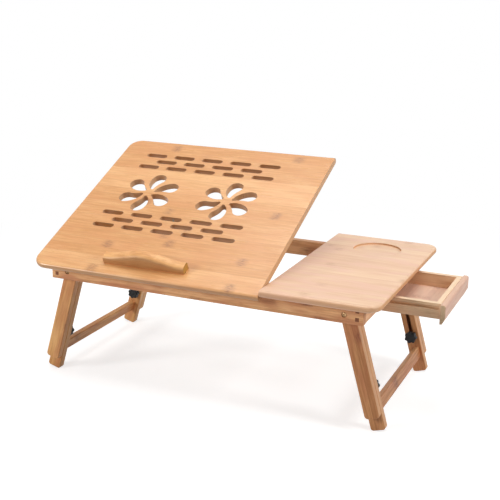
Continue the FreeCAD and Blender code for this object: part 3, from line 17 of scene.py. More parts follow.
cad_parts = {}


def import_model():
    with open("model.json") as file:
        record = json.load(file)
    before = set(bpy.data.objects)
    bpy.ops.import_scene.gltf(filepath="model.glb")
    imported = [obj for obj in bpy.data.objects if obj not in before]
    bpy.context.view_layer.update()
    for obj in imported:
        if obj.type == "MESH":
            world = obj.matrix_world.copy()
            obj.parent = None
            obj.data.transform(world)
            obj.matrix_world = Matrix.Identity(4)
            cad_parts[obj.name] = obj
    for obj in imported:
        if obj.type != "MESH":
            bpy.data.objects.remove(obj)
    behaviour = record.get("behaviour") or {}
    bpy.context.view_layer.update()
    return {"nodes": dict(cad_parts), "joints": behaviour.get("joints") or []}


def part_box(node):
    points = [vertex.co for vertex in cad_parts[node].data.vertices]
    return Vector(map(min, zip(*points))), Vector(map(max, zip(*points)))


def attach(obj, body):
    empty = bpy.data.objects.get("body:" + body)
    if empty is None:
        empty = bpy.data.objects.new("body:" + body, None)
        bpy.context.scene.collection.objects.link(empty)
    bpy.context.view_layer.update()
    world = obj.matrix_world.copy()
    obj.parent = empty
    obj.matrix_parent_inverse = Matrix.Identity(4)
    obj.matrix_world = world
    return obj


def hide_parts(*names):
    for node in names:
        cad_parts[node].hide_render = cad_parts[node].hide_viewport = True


LOG = logging.getLogger("laptop_stand")
MM = 0.001
TOUCHING = 0.001 * MM
QUARTER = math.pi / 2
SIDEWAYS, BACKWARD, UPRIGHT = (Vector(way) for way in ((1, 0, 0), (0, 1, 0), (0, 0, 1)))
ENDS = ("front", "rear")

Piece, Mesh, Material = bpy.types.Object, bpy.types.Mesh, bpy.types.Material
Tree, Node, Socket = bpy.types.NodeTree, bpy.types.Node, bpy.types.NodeSocket
Colour = tuple[float, float, float, float]
Feed = Union[Socket, Node, float, int, Sequence[float]]
VALUE, VECTOR = "NodeSocketFloat", "NodeSocketVector"
GEOMETRY, MATERIAL = "NodeSocketGeometry", "NodeSocketMaterial"
WHITE = (1.0, 1.0, 1.0, 1.0)


def paint(red: int, green: int, blue: int) -> Colour:
    """Turn a colour in display values out of 255 into a linear one.

    Args:
        red: Red as displayed.
        green: Green as displayed.
        blue: Blue as displayed.

    Returns:
        The linear colour with full alpha.
    """
    def linear(value: float) -> float:
        """One channel in linear light."""
        return value / 12.92 if value <= 0.04045 else ((value + 0.055) / 1.055) ** 2.4

    return (linear(red / 255), linear(green / 255), linear(blue / 255), 1.0)


# Node wiring ----------------------------------------------------------

@dataclass(frozen=True)
class Streaks:
    """Noise drawn out along a board: its scales along and across it, and its detail."""
    along: float
    across: float
    detail: float = 1.0


class Wiring:
    """Adds nodes to one node tree and joins them."""

    def __init__(self, tree: Tree) -> None:
        """Keep the tree that the nodes go into."""
        self.tree = tree

    def add(self, kind: str, inputs: Optional[dict[Union[str, int], Feed]] = None,
            **settings: object) -> Node:
        """Add a node.

        Args:
            kind: Blender's type name of the node.
            inputs: What feeds its inputs, by name or index.
            **settings: Properties of the node itself.

        Returns:
            The new node.
        """
        node = self.tree.nodes.new(kind)
        for name, value in settings.items():
            setattr(node, name, value)
        for key, value in (inputs or {}).items():
            self.feed(node.inputs[key], value)
        return node

    def feed(self, socket: Socket, value: Feed) -> None:
        """Link a socket to another or to a node's first output, or give it a fixed value."""
        if isinstance(value, Node):
            value = value.outputs[0]
        if isinstance(value, Socket):
            self.tree.links.new(value, socket)
        else:
            socket.default_value = value

    def feed_all(self, node: Node, /, **values: Feed) -> None:
        """Feed a node's inputs, named in small letters with underscores for spaces."""
        for name, value in values.items():
            self.feed(node.inputs[name.replace("_", " ").title()], value)

    def math(self, operation: str, *values: Feed) -> Socket:
        """Join values by a Math node and return its result."""
        return self.add("ShaderNodeMath", dict(enumerate(values)), operation=operation).outputs[0]

    def times(self, first: Feed, second: Feed) -> Socket:
        """Product of two values."""
        return self.math("MULTIPLY", first, second)

    def times_plus(self, first: Feed, second: Feed, rest: Feed) -> Socket:
        """Product of two values, plus a third."""
        return self.math("MULTIPLY_ADD", first, second, rest)

    def size_of(self, value: Feed) -> Socket:
        """A value without its sign."""
        return self.math("ABSOLUTE", value)

    def vector(self, operation: str, *values: Feed) -> Node:
        """Join vectors by a Vector Math node and return the node."""
        return self.add("ShaderNodeVectorMath", dict(enumerate(values)), operation=operation)

    def split(self, vector: Feed) -> Sequence[Socket]:
        """The X, Y and Z of a vector."""
        return self.add("ShaderNodeSeparateXYZ", {0: vector}).outputs

    def placed(self, vector: Feed, turns: Sequence[float],
               origin: Sequence[float] = (0.0, 0.0, 0.0)) -> Socket:
        """Read a vector in a turned and shifted frame of its own.

        Args:
            vector: The vector.
            turns: The frame's turns about X, Y and Z in radians.
            origin: Where the frame starts.

        Returns:
            The vector in that frame.
        """
        inputs = {"Vector": vector, "Location": origin, "Rotation": turns}
        return self.add("ShaderNodeMapping", inputs, vector_type="TEXTURE").outputs[0]

    def step(self, value: Feed, low: Feed, high: Feed, first: float = 0.0,
             last: float = 1.0) -> Socket:
        """Pass smoothly from one level to another.

        Args:
            value: What the passage follows.
            low: Where it starts.
            high: Where it ends.
            first: Level before the start.
            last: Level after the end.

        Returns:
            The level.
        """
        inputs = {"Value": value, "From Min": low, "From Max": high,
                  "To Min": first, "To Max": last}
        return self.add("ShaderNodeMapRange", inputs, interpolation_type="SMOOTHSTEP").outputs[0]

    def mix(self, share: Feed, first: Feed, second: Feed) -> Socket:
        """Mix two colours.

        Args:
            share: Share of the second colour.
            first: First colour.
            second: Second colour.

        Returns:
            The mixed colour.
        """
        inputs = {0: share, 6: first, 7: second}
        return self.add("ShaderNodeMix", inputs, data_type="RGBA").outputs[2]

    def noise(self, vector: Feed, scale: float = 1.0, detail: float = 2.0) -> Socket:
        """Noise between 0 and 1 over a vector."""
        inputs = {"Vector": vector, "Scale": scale, "Detail": detail}
        return self.add("ShaderNodeTexNoise", inputs).outputs[0]

    def streaks(self, vector: Feed, kind: Streaks) -> Socket:
        """Noise drawn out along X."""
        drawn = self.vector("MULTIPLY", vector, (kind.along, kind.across, kind.across))
        return self.noise(drawn, detail=kind.detail)


def new_material(name: str) -> Material:
    """Start a material that uses nodes."""
    material = bpy.data.materials.new(name)
    material.use_nodes = True
    return material


def new_group(name: str, inputs: Sequence[tuple[str, str, object]],
              outputs: Sequence[tuple[str, str]],
              ) -> tuple[Wiring, Sequence[Socket], Node]:
    """Start a shader node group.

    Args:
        name: Name of the group.
        inputs: Name, socket type and first value of each input.
        outputs: Name and socket type of each output.

    Returns:
        The group's wiring, the sockets of its inputs and its output node.
    """
    tree = bpy.data.node_groups.new(name, "ShaderNodeTree")
    for label, kind, default in inputs:
        socket = tree.interface.new_socket(name=label, in_out="INPUT", socket_type=kind)
        if default is not None:
            socket.default_value = default
    for label, kind in outputs:
        tree.interface.new_socket(name=label, in_out="OUTPUT", socket_type=kind)
    wires = Wiring(tree)
    given = wires.add("NodeGroupInput").outputs[:len(inputs)]
    return wires, given, wires.add("NodeGroupOutput")


WANDER, RAGGED = Streaks(40.0, 75.0, 2.0), Streaks(150.0, 700.0, 2.0)
GRAIN, CLOUDS = Streaks(22.0, 330.0, 4.0), Streaks(13.0, 75.0, 3.0)
DASHES, BLUSHES, PORES = Streaks(130.0, 900.0), Streaks(17.0, 60.0), Streaks(1500.0, 1500.0)


def build_strips() -> Tree:
    """Glued strips of bamboo: each strip's tone, its growth rings' soft patches and the glue lines.

    Returns:
        The node group; its vector runs along the strips in X and across them in Y.
    """
    glue_line, ring_reach, halo_reach, wander_reach = 0.5 * MM, 0.3, 2.0, 1.6
    broken_share, whole_share, row_shift = 0.7, 0.3, 10.0
    ringed, fading, torn = (0.15, 0.7), (0.3, 0.5, 1.0, 0.25), (0.35, 0.65)
    wires, given, result = new_group(
        "bamboo strips",
        [("Vector", VECTOR, None), ("Strip Width", VALUE, 20 * MM), ("Strip Depth", VALUE, 20 * MM),
         ("Node Spacing", VALUE, 250 * MM), ("Node Reach", VALUE, 5 * MM)],
        [("Tone", VALUE), ("Node", VALUE), ("Halo", VALUE), ("Seam", VALUE)])
    vector, width, depth, spacing, reach = given
    length, side, level = wires.split(vector)
    across = wires.math("DIVIDE", side, width)
    row = wires.math("FLOOR", across)
    layer = wires.math("FLOOR", wires.math("DIVIDE", level, depth))
    cell = wires.add("ShaderNodeCombineXYZ", {0: row, 1: layer, 2: 0.5})
    chance = wires.add("ShaderNodeTexWhiteNoise", {"Vector": cell}, noise_dimensions="3D")
    shift, tone, luck = wires.add("ShaderNodeSeparateColor", {0: chance.outputs["Color"]}).outputs
    middle = wires.size_of(wires.math("SUBTRACT", wires.math("FRACT", across), 0.5))

    shifted = wires.times_plus(shift, row_shift, wires.math("DIVIDE", length, spacing))
    away = wires.times(wires.math("SUBTRACT", wires.math("FRACT", shifted), 0.5), spacing)
    wander = wires.math("SUBTRACT", wires.streaks(vector, WANDER), 0.5)
    bent = wires.times(wander, wires.times(reach, wander_reach))
    away = wires.size_of(wires.math("ADD", away, bent))
    strength = wires.times(wires.step(luck, *ringed), wires.step(middle, *fading))
    ragged = wires.step(wires.streaks(vector, RAGGED), *torn)
    broken = wires.times(strength, ragged)
    ring = wires.step(away, 0.0, wires.times(reach, ring_reach), 1.0, 0.0)
    halo = wires.step(away, 0.0, wires.times(reach, halo_reach), 1.0, 0.0)
    soft = wires.times_plus(broken, broken_share, wires.times(strength, whole_share))
    joint = wires.math("SUBTRACT", 0.5, wires.math("DIVIDE", glue_line, width))
    wires.feed_all(result, tone=tone, node=wires.times(ring, broken), halo=wires.times(halo, soft),
                   seam=wires.step(middle, joint, 0.5))
    return wires.tree


def build_fibres() -> Tree:
    """Fibres along X: long streaks, short dark dashes, broad clouds of tone and hue, and pores.

    Returns:
        The node group.
    """
    wires, (vector,), result = new_group(
        "bamboo fibres", [("Vector", VECTOR, None)],
        [("Streak", VALUE), ("Dash", VALUE), ("Cloud", VALUE), ("Blush", VALUE), ("Pore", VALUE)])
    dark_from, red_from, open_from = (0.58, 0.72), (0.42, 0.66), (0.55, 0.7)
    wires.feed_all(result, streak=wires.streaks(vector, GRAIN), cloud=wires.streaks(vector, CLOUDS),
                   dash=wires.step(wires.streaks(vector, DASHES), *dark_from),
                   blush=wires.step(wires.streaks(vector, BLUSHES), *red_from),
                   pore=wires.step(wires.streaks(vector, PORES), *open_from))
    return wires.tree


def build_edges() -> Tree:
    """Eased and rubbed edges: a mask along them and a normal that rounds them.

    Returns:
        The node group.
    """
    sharpest = 0.25
    wires, (reach,), result = new_group("rubbed edges", [("Reach", VALUE, 0.6 * MM)],
                                        [("Edge", VALUE), ("Normal", VECTOR)])
    eased = wires.add("ShaderNodeBevel", {"Radius": reach}, samples=4)
    face = wires.add("ShaderNodeNewGeometry").outputs["Normal"]
    match = wires.vector("DOT_PRODUCT", eased, face).outputs["Value"]
    edge = wires.step(wires.math("SUBTRACT", 1.0, match), 0.0, sharpest)
    wires.feed_all(result, edge=edge, normal=eased)
    return wires.tree


def build_handling() -> Tree:
    """Traces of use on metal and plastic: smudges, fine scratches and a moulded grain.

    Returns:
        The node group.
    """
    scratch_turns, scratch_scale, scratched = (0.4, 0.7, 0.9), (60.0, 2200.0, 900.0), (0.66, 0.74)
    smudge_scale, smudge_detail, grain_scale = 90.0, 3.0, 2600.0
    wires, (vector,), result = new_group(
        "handling", [("Vector", VECTOR, None)],
        [("Smudge", VALUE), ("Scratch", VALUE), ("Grain", VALUE)])
    drawn = wires.add("ShaderNodeMapping", {"Vector": vector, "Rotation": scratch_turns,
                                            "Scale": scratch_scale})
    wires.feed_all(result, smudge=wires.noise(vector, smudge_scale, smudge_detail),
                   scratch=wires.step(wires.noise(drawn, detail=1.0), *scratched),
                   grain=wires.noise(vector, grain_scale, 1.0))
    return wires.tree


# Finishes -------------------------------------------------------------

class Slot(Enum):
    """Finishes by the record's names."""
    TOP = "bamboo_top"
    PALE = "bamboo_pale"
    FRAME = "bamboo_frame"
    DRAWER = "bamboo_drawer"
    STEEL = "steel"
    WIRE = "wire_steel"
    HINGE = "hinge_steel"
    CLIP = "clip_plastic"
    KNOB = "knob_plastic"


class Run(Enum):
    """Which way a bamboo piece's fibres run, and which way its strips lie side by side."""
    ALONG_X = "along x, strips one above another"
    ALONG_Y = "along y, strips one above another"
    FLAT_X = "along x, strips side by side"
    FLAT_Y = "along y, strips side by side"
    SLOPE = "across the tilted board"
    LEFT_LEG = "down the left legs"
    RIGHT_LEG = "down the right legs"


@dataclass(frozen=True)
class Bamboo:
    """A bamboo finish: colours, sizes of its strips, and shares of the marks and of the painted
    light over the colour.
    """
    slot: Slot
    light: Colour
    dark: Colour
    blush: Colour
    mark: Colour
    end: Colour
    # side: colour of the faces that don't face out of the board. It is their own cut colour with
    # painted light in it: painted shade in HONEY, AMBER and PALE, and a painted highlight in CREAM
    # and in the darker right-leg copy of LEGS.
    side: Colour
    edge: Colour
    strip_width: float = 20 * MM
    strip_depth: float = 30 * MM
    node_spacing: float = 260 * MM
    node_reach: float = 6 * MM
    slot_half: float = 2.8 * MM
    eased: float = 0.7 * MM
    cloudy: float = 0.45
    streak: float = 0.5
    speckle: float = 0.14
    redness: float = 0.4
    halo: float = 0.7
    ring: float = 0.3
    seam: float = 0.3
    painted_side_share: float = 0.55
    pores: float = 0.4
    rubbed: float = 0.5
    # Share of painted shade on the walls of the slots in the leg boards.
    slot_shade_share: float = 0.9
    shine: float = 0.35
    roughness: float = 0.42
    relief: float = 0.22
    relief_deep: float = 0.15 * MM


@dataclass(frozen=True)
class Metal:
    """A plated or drawn metal finish."""
    slot: Slot
    kind: str
    colour: Colour
    dull: Colour
    roughness: float
    eased: float = 0.25 * MM
    relief: float = 0.08
    relief_deep: float = 0.05 * MM


@dataclass(frozen=True)
class Plastic:
    """A moulded plastic finish."""
    slot: Slot
    colour: Colour
    rubbed: Colour
    roughness: float
    relief: float
    relief_deep: float = 0.05 * MM
    eased: float = 0.4 * MM
    shine: float = 0.3


# HONEY's dark side colour is painted shade on the walls of the vents and petals. Its light end
# colour is partly a painted highlight, where the board's rounded end catches the light, with its
# own end-grain pores over it.
HONEY = Bamboo(
    Slot.TOP, light=paint(237, 181, 121), dark=paint(211, 146, 82), blush=paint(221, 151, 94),
    mark=paint(146, 90, 52), end=paint(214, 168, 122), side=paint(128, 82, 46),
    edge=paint(226, 182, 132), strip_width=19 * MM, node_spacing=225 * MM, node_reach=7 * MM,
    streak=0.42, shine=0.7, roughness=0.32)
# AMBER's very dark side colour is painted shade on the front and back faces of the stopper.
AMBER = Bamboo(
    Slot.TOP, light=paint(242, 184, 122), dark=paint(214, 150, 92), blush=paint(214, 146, 90),
    mark=paint(140, 86, 48), end=paint(190, 144, 72), side=paint(112, 58, 22),
    edge=paint(226, 168, 112), strip_width=40 * MM, node_spacing=400 * MM)
# PALE's darker side colour is painted shade on the rounded edges of the fixed board.
PALE = Bamboo(
    Slot.PALE, light=paint(243, 206, 170), dark=paint(231, 187, 152), blush=paint(238, 192, 169),
    mark=paint(212, 166, 130), end=paint(222, 168, 122), side=paint(208, 148, 96),
    edge=paint(242, 198, 156), strip_width=17 * MM, node_spacing=420 * MM, streak=0.4,
    speckle=0.05, redness=0.55, seam=0.12, roughness=0.38)
BROWN = Bamboo(
    Slot.FRAME, light=paint(240, 184, 130), dark=paint(208, 148, 96), blush=paint(192, 120, 84),
    mark=paint(120, 66, 46), end=paint(134, 84, 56), side=paint(204, 148, 100),
    edge=paint(214, 158, 108), strip_width=11 * MM, strip_depth=13 * MM, node_spacing=190 * MM,
    node_reach=8 * MM, redness=0.6, roughness=0.46)
RAIL = replace(BROWN, light=paint(248, 194, 140), dark=paint(216, 156, 104),
               end=paint(200, 144, 102))
LEGS = Bamboo(
    Slot.FRAME, light=paint(240, 184, 120), dark=paint(208, 146, 84), blush=paint(196, 122, 78),
    mark=paint(136, 80, 52), end=paint(160, 108, 68), side=paint(224, 174, 122),
    edge=paint(230, 178, 126), strip_width=24 * MM, strip_depth=14 * MM, node_spacing=200 * MM,
    node_reach=8 * MM, redness=0.6, roughness=0.46)
# A darker copy of LEGS for the right leg pair. Its side colour, lighter than its faces, is a
# painted highlight on the narrow sides of the right legs.
DARKER_RIGHT_LEGS = replace(
    LEGS, light=paint(214, 154, 102), dark=paint(178, 118, 72), blush=paint(184, 108, 74),
    mark=paint(122, 66, 46), side=paint(224, 176, 128), edge=paint(222, 168, 118),
    strip_width=23 * MM, node_spacing=180 * MM, node_reach=9 * MM, redness=0.4)
# CREAM's bright side colour is a painted highlight on the narrow faces, which shows on the top
# edges of the drawer walls and runners.
CREAM = Bamboo(
    Slot.DRAWER, light=paint(242, 206, 166), dark=paint(224, 180, 138), blush=paint(232, 184, 150),
    mark=paint(190, 146, 102), end=paint(234, 204, 168), side=paint(254, 230, 200),
    edge=paint(255, 238, 216), strip_width=12 * MM, node_spacing=330 * MM, streak=0.45,
    roughness=0.5)
ROSY = Bamboo(
    Slot.DRAWER, light=paint(234, 198, 172), dark=paint(216, 172, 148), blush=paint(228, 180, 160),
    mark=paint(168, 122, 96), end=paint(214, 184, 148), side=paint(226, 190, 162),
    edge=paint(240, 206, 178), strip_width=40 * MM, node_spacing=150 * MM, node_reach=8 * MM,
    streak=0.35, roughness=0.5)
PINKISH = Bamboo(
    Slot.DRAWER, light=paint(236, 200, 176), dark=paint(218, 178, 154), blush=paint(232, 190, 170),
    mark=paint(204, 164, 138), end=paint(200, 158, 126), side=paint(214, 174, 146),
    edge=paint(226, 190, 160), strip_width=30 * MM, node_spacing=500 * MM, streak=0.3,
    speckle=0.06, roughness=0.55)
BRASSY = Metal(Slot.STEEL, "yellow", colour=paint(200, 164, 122), dull=paint(134, 102, 70),
               roughness=0.36)
ZINC = Metal(Slot.STEEL, "plated", colour=paint(178, 172, 162), dull=paint(128, 120, 108),
             roughness=0.36)
DRAWN = Metal(Slot.WIRE, "drawn", colour=paint(188, 188, 192), dull=paint(140, 138, 136),
              roughness=0.24)
LEAF = Metal(Slot.HINGE, "sheet", colour=paint(196, 186, 160), dull=paint(150, 138, 112),
             roughness=0.34)
CLIP = Plastic(Slot.CLIP, colour=paint(34, 34, 35), rubbed=paint(84, 84, 84), roughness=0.5,
               relief=0.35)
KNOB = Plastic(Slot.KNOB, colour=paint(15, 15, 17), rubbed=paint(52, 52, 54), roughness=0.4,
               relief=0.25)
STRIPS_START = (3.1 * MM, 1.7 * MM, 2.3 * MM)


@dataclass
class Paintshop:
    """Builds each material once, from the shared shader groups."""
    tilt: float
    splay: float
    hinge: Vector
    pivots: dict[Run, Vector]
    groups: dict[str, Tree] = field(default_factory=dict)
    done: dict[str, Material] = field(default_factory=dict)

    def __post_init__(self) -> None:
        """Build the shared groups."""
        self.groups = {"strips": build_strips(), "fibres": build_fibres(),
                       "edges": build_edges(), "handling": build_handling()}

    def turns(self, run: Run) -> tuple[float, float, float]:
        """How the frame of a run's own fibres is turned.

        Args:
            run: Way the fibres run.

        Returns:
            Its turns about X, Y and Z in radians.
        """
        return {
            Run.ALONG_X: (QUARTER, 0.0, 0.0),
            Run.ALONG_Y: (QUARTER, 0.0, QUARTER),
            Run.FLAT_X: (0.0, 0.0, 0.0),
            Run.FLAT_Y: (0.0, 0.0, QUARTER),
            Run.SLOPE: (self.tilt, 0.0, 0.0),
            Run.LEFT_LEG: (QUARTER, self.splay - QUARTER, 0.0),
            Run.RIGHT_LEG: (QUARTER, -self.splay - QUARTER, 0.0),
        }[run]

    def start(self, name: str) -> tuple[Wiring, Socket, Socket]:
        """Start a material.

        Args:
            name: Name of the material.

        Returns:
            Its wiring, and its Object and Normal coordinates.
        """
        self.done[name] = new_material(name)
        wires = Wiring(self.done[name].node_tree)
        coordinates = wires.add("ShaderNodeTexCoord").outputs
        return wires, coordinates["Object"], coordinates["Normal"]

    def end(self, name: str, wires: Wiring, finish: Union[Bamboo, Metal, Plastic], height: Socket,
            normal: Socket, values: dict[str, Feed]) -> Material:
        """End a material: feed its shader, with a fine relief on its eased edges.

        Args:
            name: Name of the material.
            wires: Its wiring.
            finish: Finish with the strength and depth of its relief.
            height: What the relief follows.
            normal: Normal of the eased edges.
            values: The shader's other inputs.

        Returns:
            The material.
        """
        bump = wires.add("ShaderNodeBump", {
            "Strength": finish.relief, "Distance": finish.relief_deep, "Height": height,
            "Normal": normal})
        shader = wires.tree.nodes["Principled BSDF"]
        for label, value in values.items():
            wires.feed(shader.inputs[label], value)
        wires.feed(shader.inputs["Normal"], bump)
        return self.done[name]

    def group(self, wires: Wiring, name: str, **inputs: Feed) -> Sequence[Socket]:
        """Place a shared group in a material and give its outputs."""
        node = wires.add("ShaderNodeGroup", node_tree=self.groups[name])
        wires.feed_all(node, **inputs)
        return node.outputs

    def painted_slot_shade(self, wires: Wiring, place: Socket, along: Socket, over: Socket,
                   finish: Bamboo, run: Run) -> Socket:
        """Mask of painted shade on the walls of the slot down the middle of a leg board: it darkens
        them as the shade inside the deep slot.

        Args:
            wires: Wiring of the material.
            place: Object coordinates.
            along: How far the surface faces along the board.
            over: How far it faces out of the board.
            finish: Finish with the slot's half-width.
            run: Way the fibres run.

        Returns:
            The mask.
        """
        reach = (finish.slot_half * 1.1, finish.slot_half * 1.25)
        not_face, not_end = (0.2, 0.6), (0.7, 0.95)
        middle = wires.placed(place, self.turns(run), self.pivots[run])
        away = wires.size_of(wires.split(middle)[1])
        inner = wires.times(wires.step(over, *not_face, 1.0, 0.0),
                            wires.step(along, *not_end, 1.0, 0.0))
        return wires.times(wires.step(away, *reach, 1.0, 0.0), inner)

    def bamboo(self, finish: Bamboo, run: Run) -> Material:
        """Lacquered bamboo with its strips, fibres, growth rings and end grain.

        Args:
            finish: Colours and sizes.
            run: Way the fibres run.

        Returns:
            The material.
        """
        end_facing, painted_side_facing = (0.75, 0.95), (0.25, 0.85, 0.85, 0.0)
        grain_levels, tone_levels, halo_freckles = (0.3, 0.7), (0.1, 0.95), 0.5
        grain_rough, end_rough, dash_deep = 0.1, 0.2, 0.6
        strip = round(finish.strip_width / MM)
        name = "%s %s %d" % (finish.slot.value, run.name.lower(), strip)
        if name in self.done:
            return self.done[name]
        wires, place, facing = self.start(name)
        turns = self.turns(run)
        vector = wires.placed(place, turns, self.hinge if run is Run.SLOPE else STRIPS_START)
        faced = wires.split(wires.placed(facing, turns))
        along, over = wires.size_of(faced[0]), wires.size_of(faced[2])
        strips = self.group(wires, "strips", vector=vector, strip_width=finish.strip_width,
                            strip_depth=finish.strip_depth, node_spacing=finish.node_spacing,
                            node_reach=finish.node_reach)
        fibres = self.group(wires, "fibres", vector=vector)
        edges = self.group(wires, "edges", reach=finish.eased)

        tone = wires.times_plus(strips["Tone"], 1.0 - finish.cloudy,
                                wires.times(fibres["Cloud"], finish.cloudy))
        grainy = wires.step(fibres["Streak"], *grain_levels)
        level = wires.times_plus(wires.math("SUBTRACT", grainy, 0.5), finish.streak, tone)
        freckles = wires.times_plus(strips["Halo"], halo_freckles, finish.speckle)
        raw_end = wires.mix(wires.times(fibres["Pore"], finish.pores), finish.end, finish.mark)
        cut = wires.step(along, *end_facing)
        coats = [
            (fibres["Blush"], finish.redness, finish.blush),
            (fibres["Dash"], freckles, finish.mark),
            (strips["Halo"], finish.halo, finish.mark),
            (strips["Node"], finish.ring, finish.mark),
            (strips["Seam"], finish.seam, finish.mark),
            # Painted light: the side colour on faces that don't face out of the board, over their
            # own cut colour.
            (wires.step(over, *painted_side_facing), finish.painted_side_share, finish.side),
            (cut, 1.0, raw_end),
            (edges["Edge"], finish.rubbed, finish.edge),
        ]
        # Painted shade: the walls of the slot in a leg board are darkened towards the mark colour,
        # as the shade inside the deep slot.
        if run in self.pivots:
            slot_shade_mask = self.painted_slot_shade(wires, place, along, over, finish, run)
            coats.append((slot_shade_mask, finish.slot_shade_share, finish.mark))
        colour = wires.mix(wires.step(level, *tone_levels), finish.light, finish.dark)
        for mask, share, coat in coats:
            colour = wires.mix(wires.times(mask, share), colour, coat)

        rough = wires.times_plus(grainy, grain_rough, finish.roughness - grain_rough / 2)
        rough = wires.times_plus(cut, end_rough, rough)
        height = wires.times_plus(fibres["Dash"], -dash_deep, fibres["Streak"])
        height = wires.math("SUBTRACT", height, strips["Seam"])
        return self.end(name, wires, finish, height, edges["Normal"], {
            "Base Color": colour, "Roughness": rough, "Specular IOR Level": finish.shine})

    def metal(self, finish: Metal) -> Material:
        """Metal with smudges and fine scratches.

        Args:
            finish: Colours and roughness.

        Returns:
            The material.
        """
        dull_levels, dull_rough, scratch_rough, scratch_deep = (0.4, 0.75), 0.18, 0.12, 0.5
        name = "%s %s" % (finish.slot.value, finish.kind)
        if name in self.done:
            return self.done[name]
        wires, place, _ = self.start(name)
        marks = self.group(wires, "handling", vector=place)
        edges = self.group(wires, "edges", reach=finish.eased)
        dulled = wires.step(marks["Smudge"], *dull_levels)
        rough = wires.times_plus(dulled, dull_rough, finish.roughness)
        rough = wires.times_plus(marks["Scratch"], scratch_rough, rough)
        height = wires.times_plus(marks["Scratch"], -scratch_deep, marks["Grain"])
        return self.end(name, wires, finish, height, edges["Normal"], {
            "Base Color": wires.mix(dulled, finish.colour, finish.dull), "Metallic": 1.0,
            "Roughness": rough})

    def plastic(self, finish: Plastic) -> Material:
        """Moulded plastic with a fine grain and rubbed edges.

        Args:
            finish: Colours, roughness and grain.

        Returns:
            The material.
        """
        worn_levels, scratch_share, smudge_rough = (0.3, 0.7, 0.1, 0.5), 0.15, 0.14
        name = finish.slot.value
        if name in self.done:
            return self.done[name]
        wires, place, _ = self.start(name)
        marks = self.group(wires, "handling", vector=place)
        edges = self.group(wires, "edges", reach=finish.eased)
        worn = wires.times(edges["Edge"], wires.step(marks["Smudge"], *worn_levels))
        worn = wires.times_plus(marks["Scratch"], scratch_share, worn)
        rough = wires.times_plus(marks["Smudge"], smudge_rough, finish.roughness - smudge_rough / 2)
        return self.end(name, wires, finish, marks["Grain"], edges["Normal"], {
            "Base Color": wires.mix(worn, finish.colour, finish.rubbed), "Roughness": rough,
            "Specular IOR Level": finish.shine})


# Frame and shared pieces ----------------------------------------------

@dataclass
class Stand:
    """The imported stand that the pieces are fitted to."""
    nodes: dict[str, Piece]
    joints: dict[str, dict]
    shop: Paintshop

    def dress(self, material: Material, *names: str) -> None:
        """Give carried-over pieces a material."""
        for name in names:
            for slot in self.nodes[name].material_slots:
                slot.material = material
            LOG.info("dressed %s with %s", name, material.name)

    def finish_piece(self, piece: Piece, body: str, slot: Slot, *replaced: str) -> None:
        """Hand over a new piece.

        Args:
            piece: The finished object.
            body: Body that it rides on.
            slot: Finish that it takes; not used.
            *replaced: Nodes that it stands for.
        """
        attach(piece, body)
        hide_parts(*replaced)
        LOG.info("built %s, %d faces, for %s", piece.name, len(piece.data.polygons),
                 ", ".join(replaced))

    def centre(self, joint: str) -> Vector:
        """Place of a joint in the stand's frame."""
        return Vector(self.joints[joint]["pos_m"])

    def axis(self, joint: str) -> Vector:
        """Direction of a joint in the stand's frame."""
        return Vector(self.joints[joint]["axis"]).normalized()


def new_object(name: str, data: bpy.types.ID) -> Piece:
    """Put a mesh, a lamp or a camera in the scene as an object."""
    piece = bpy.data.objects.new(name, data)
    bpy.context.scene.collection.objects.link(piece)
    return piece


def smooth(mesh: Mesh, angle: float = 35.0) -> None:
    """Shade a mesh smooth, with its edges sharp above an angle in degrees."""
    mesh.shade_smooth()
    mesh.set_sharp_from_angle(angle=math.radians(angle))


def islands(piece: Piece) -> list[list[Vector]]:
    """Points of each separate solid in a node.

    Args:
        piece: The node's object.

    Returns:
        One list of points for each solid.
    """
    shape = bmesh.new()
    shape.from_mesh(piece.data)
    bmesh.ops.remove_doubles(shape, verts=shape.verts, dist=TOUCHING)
    shape.verts.index_update()
    seen: set[int] = set()
    groups = []
    for first in shape.verts:
        if first.index in seen:
            continue
        seen.add(first.index)
        group = [first]
        for vert in group:  # The group grows as it is walked.
            for link in vert.link_edges:
                other = link.other_vert(vert)
                if other.index not in seen:
                    seen.add(other.index)
                    group.append(other)
        groups.append([vert.co.copy() for vert in group])
    shape.free()
    return groups


def loft(name: str, loops: Sequence[Sequence[Vector]], ring: bool = False) -> Mesh:
    """Join loops of points by faces into a closed skin.

    Args:
        name: Name of the mesh.
        loops: Loops with the same number of points.
        ring: Whether the last loop joins the first; otherwise both are filled.

    Returns:
        The mesh, its normals outward.
    """
    shape = bmesh.new()
    rows = [[shape.verts.new(point) for point in loop] for loop in loops]
    for lower, upper in zip(rows, rows[1:] + rows[:1] if ring else rows[1:]):
        for index in range(len(lower)):
            after = (index + 1) % len(lower)
            shape.faces.new((lower[index], lower[after], upper[after], upper[index]))
    if not ring:
        shape.faces.new(rows[0])
        shape.faces.new(rows[-1])
    bmesh.ops.recalc_face_normals(shape, faces=shape.faces)
    mesh = bpy.data.meshes.new(name)
    shape.to_mesh(mesh)
    shape.free()
    return mesh


def even_turns(count: int) -> list[float]:
    """Evenly spaced angles all the way round, in radians."""
    return [2 * math.pi * index / count for index in range(count)]


def turned(centre: Vector, places: Sequence[tuple[float, float]]) -> list[Vector]:
    """A loop of points round an axis along Y.

    Args:
        centre: A point of the axis.
        places: Radius and place along Y at each evenly spaced turn.

    Returns:
        The points.
    """
    return [Vector((centre.x + radius * math.cos(turn), along, centre.z + radius * math.sin(turn)))
            for turn, (radius, along) in zip(even_turns(len(places)), places)]


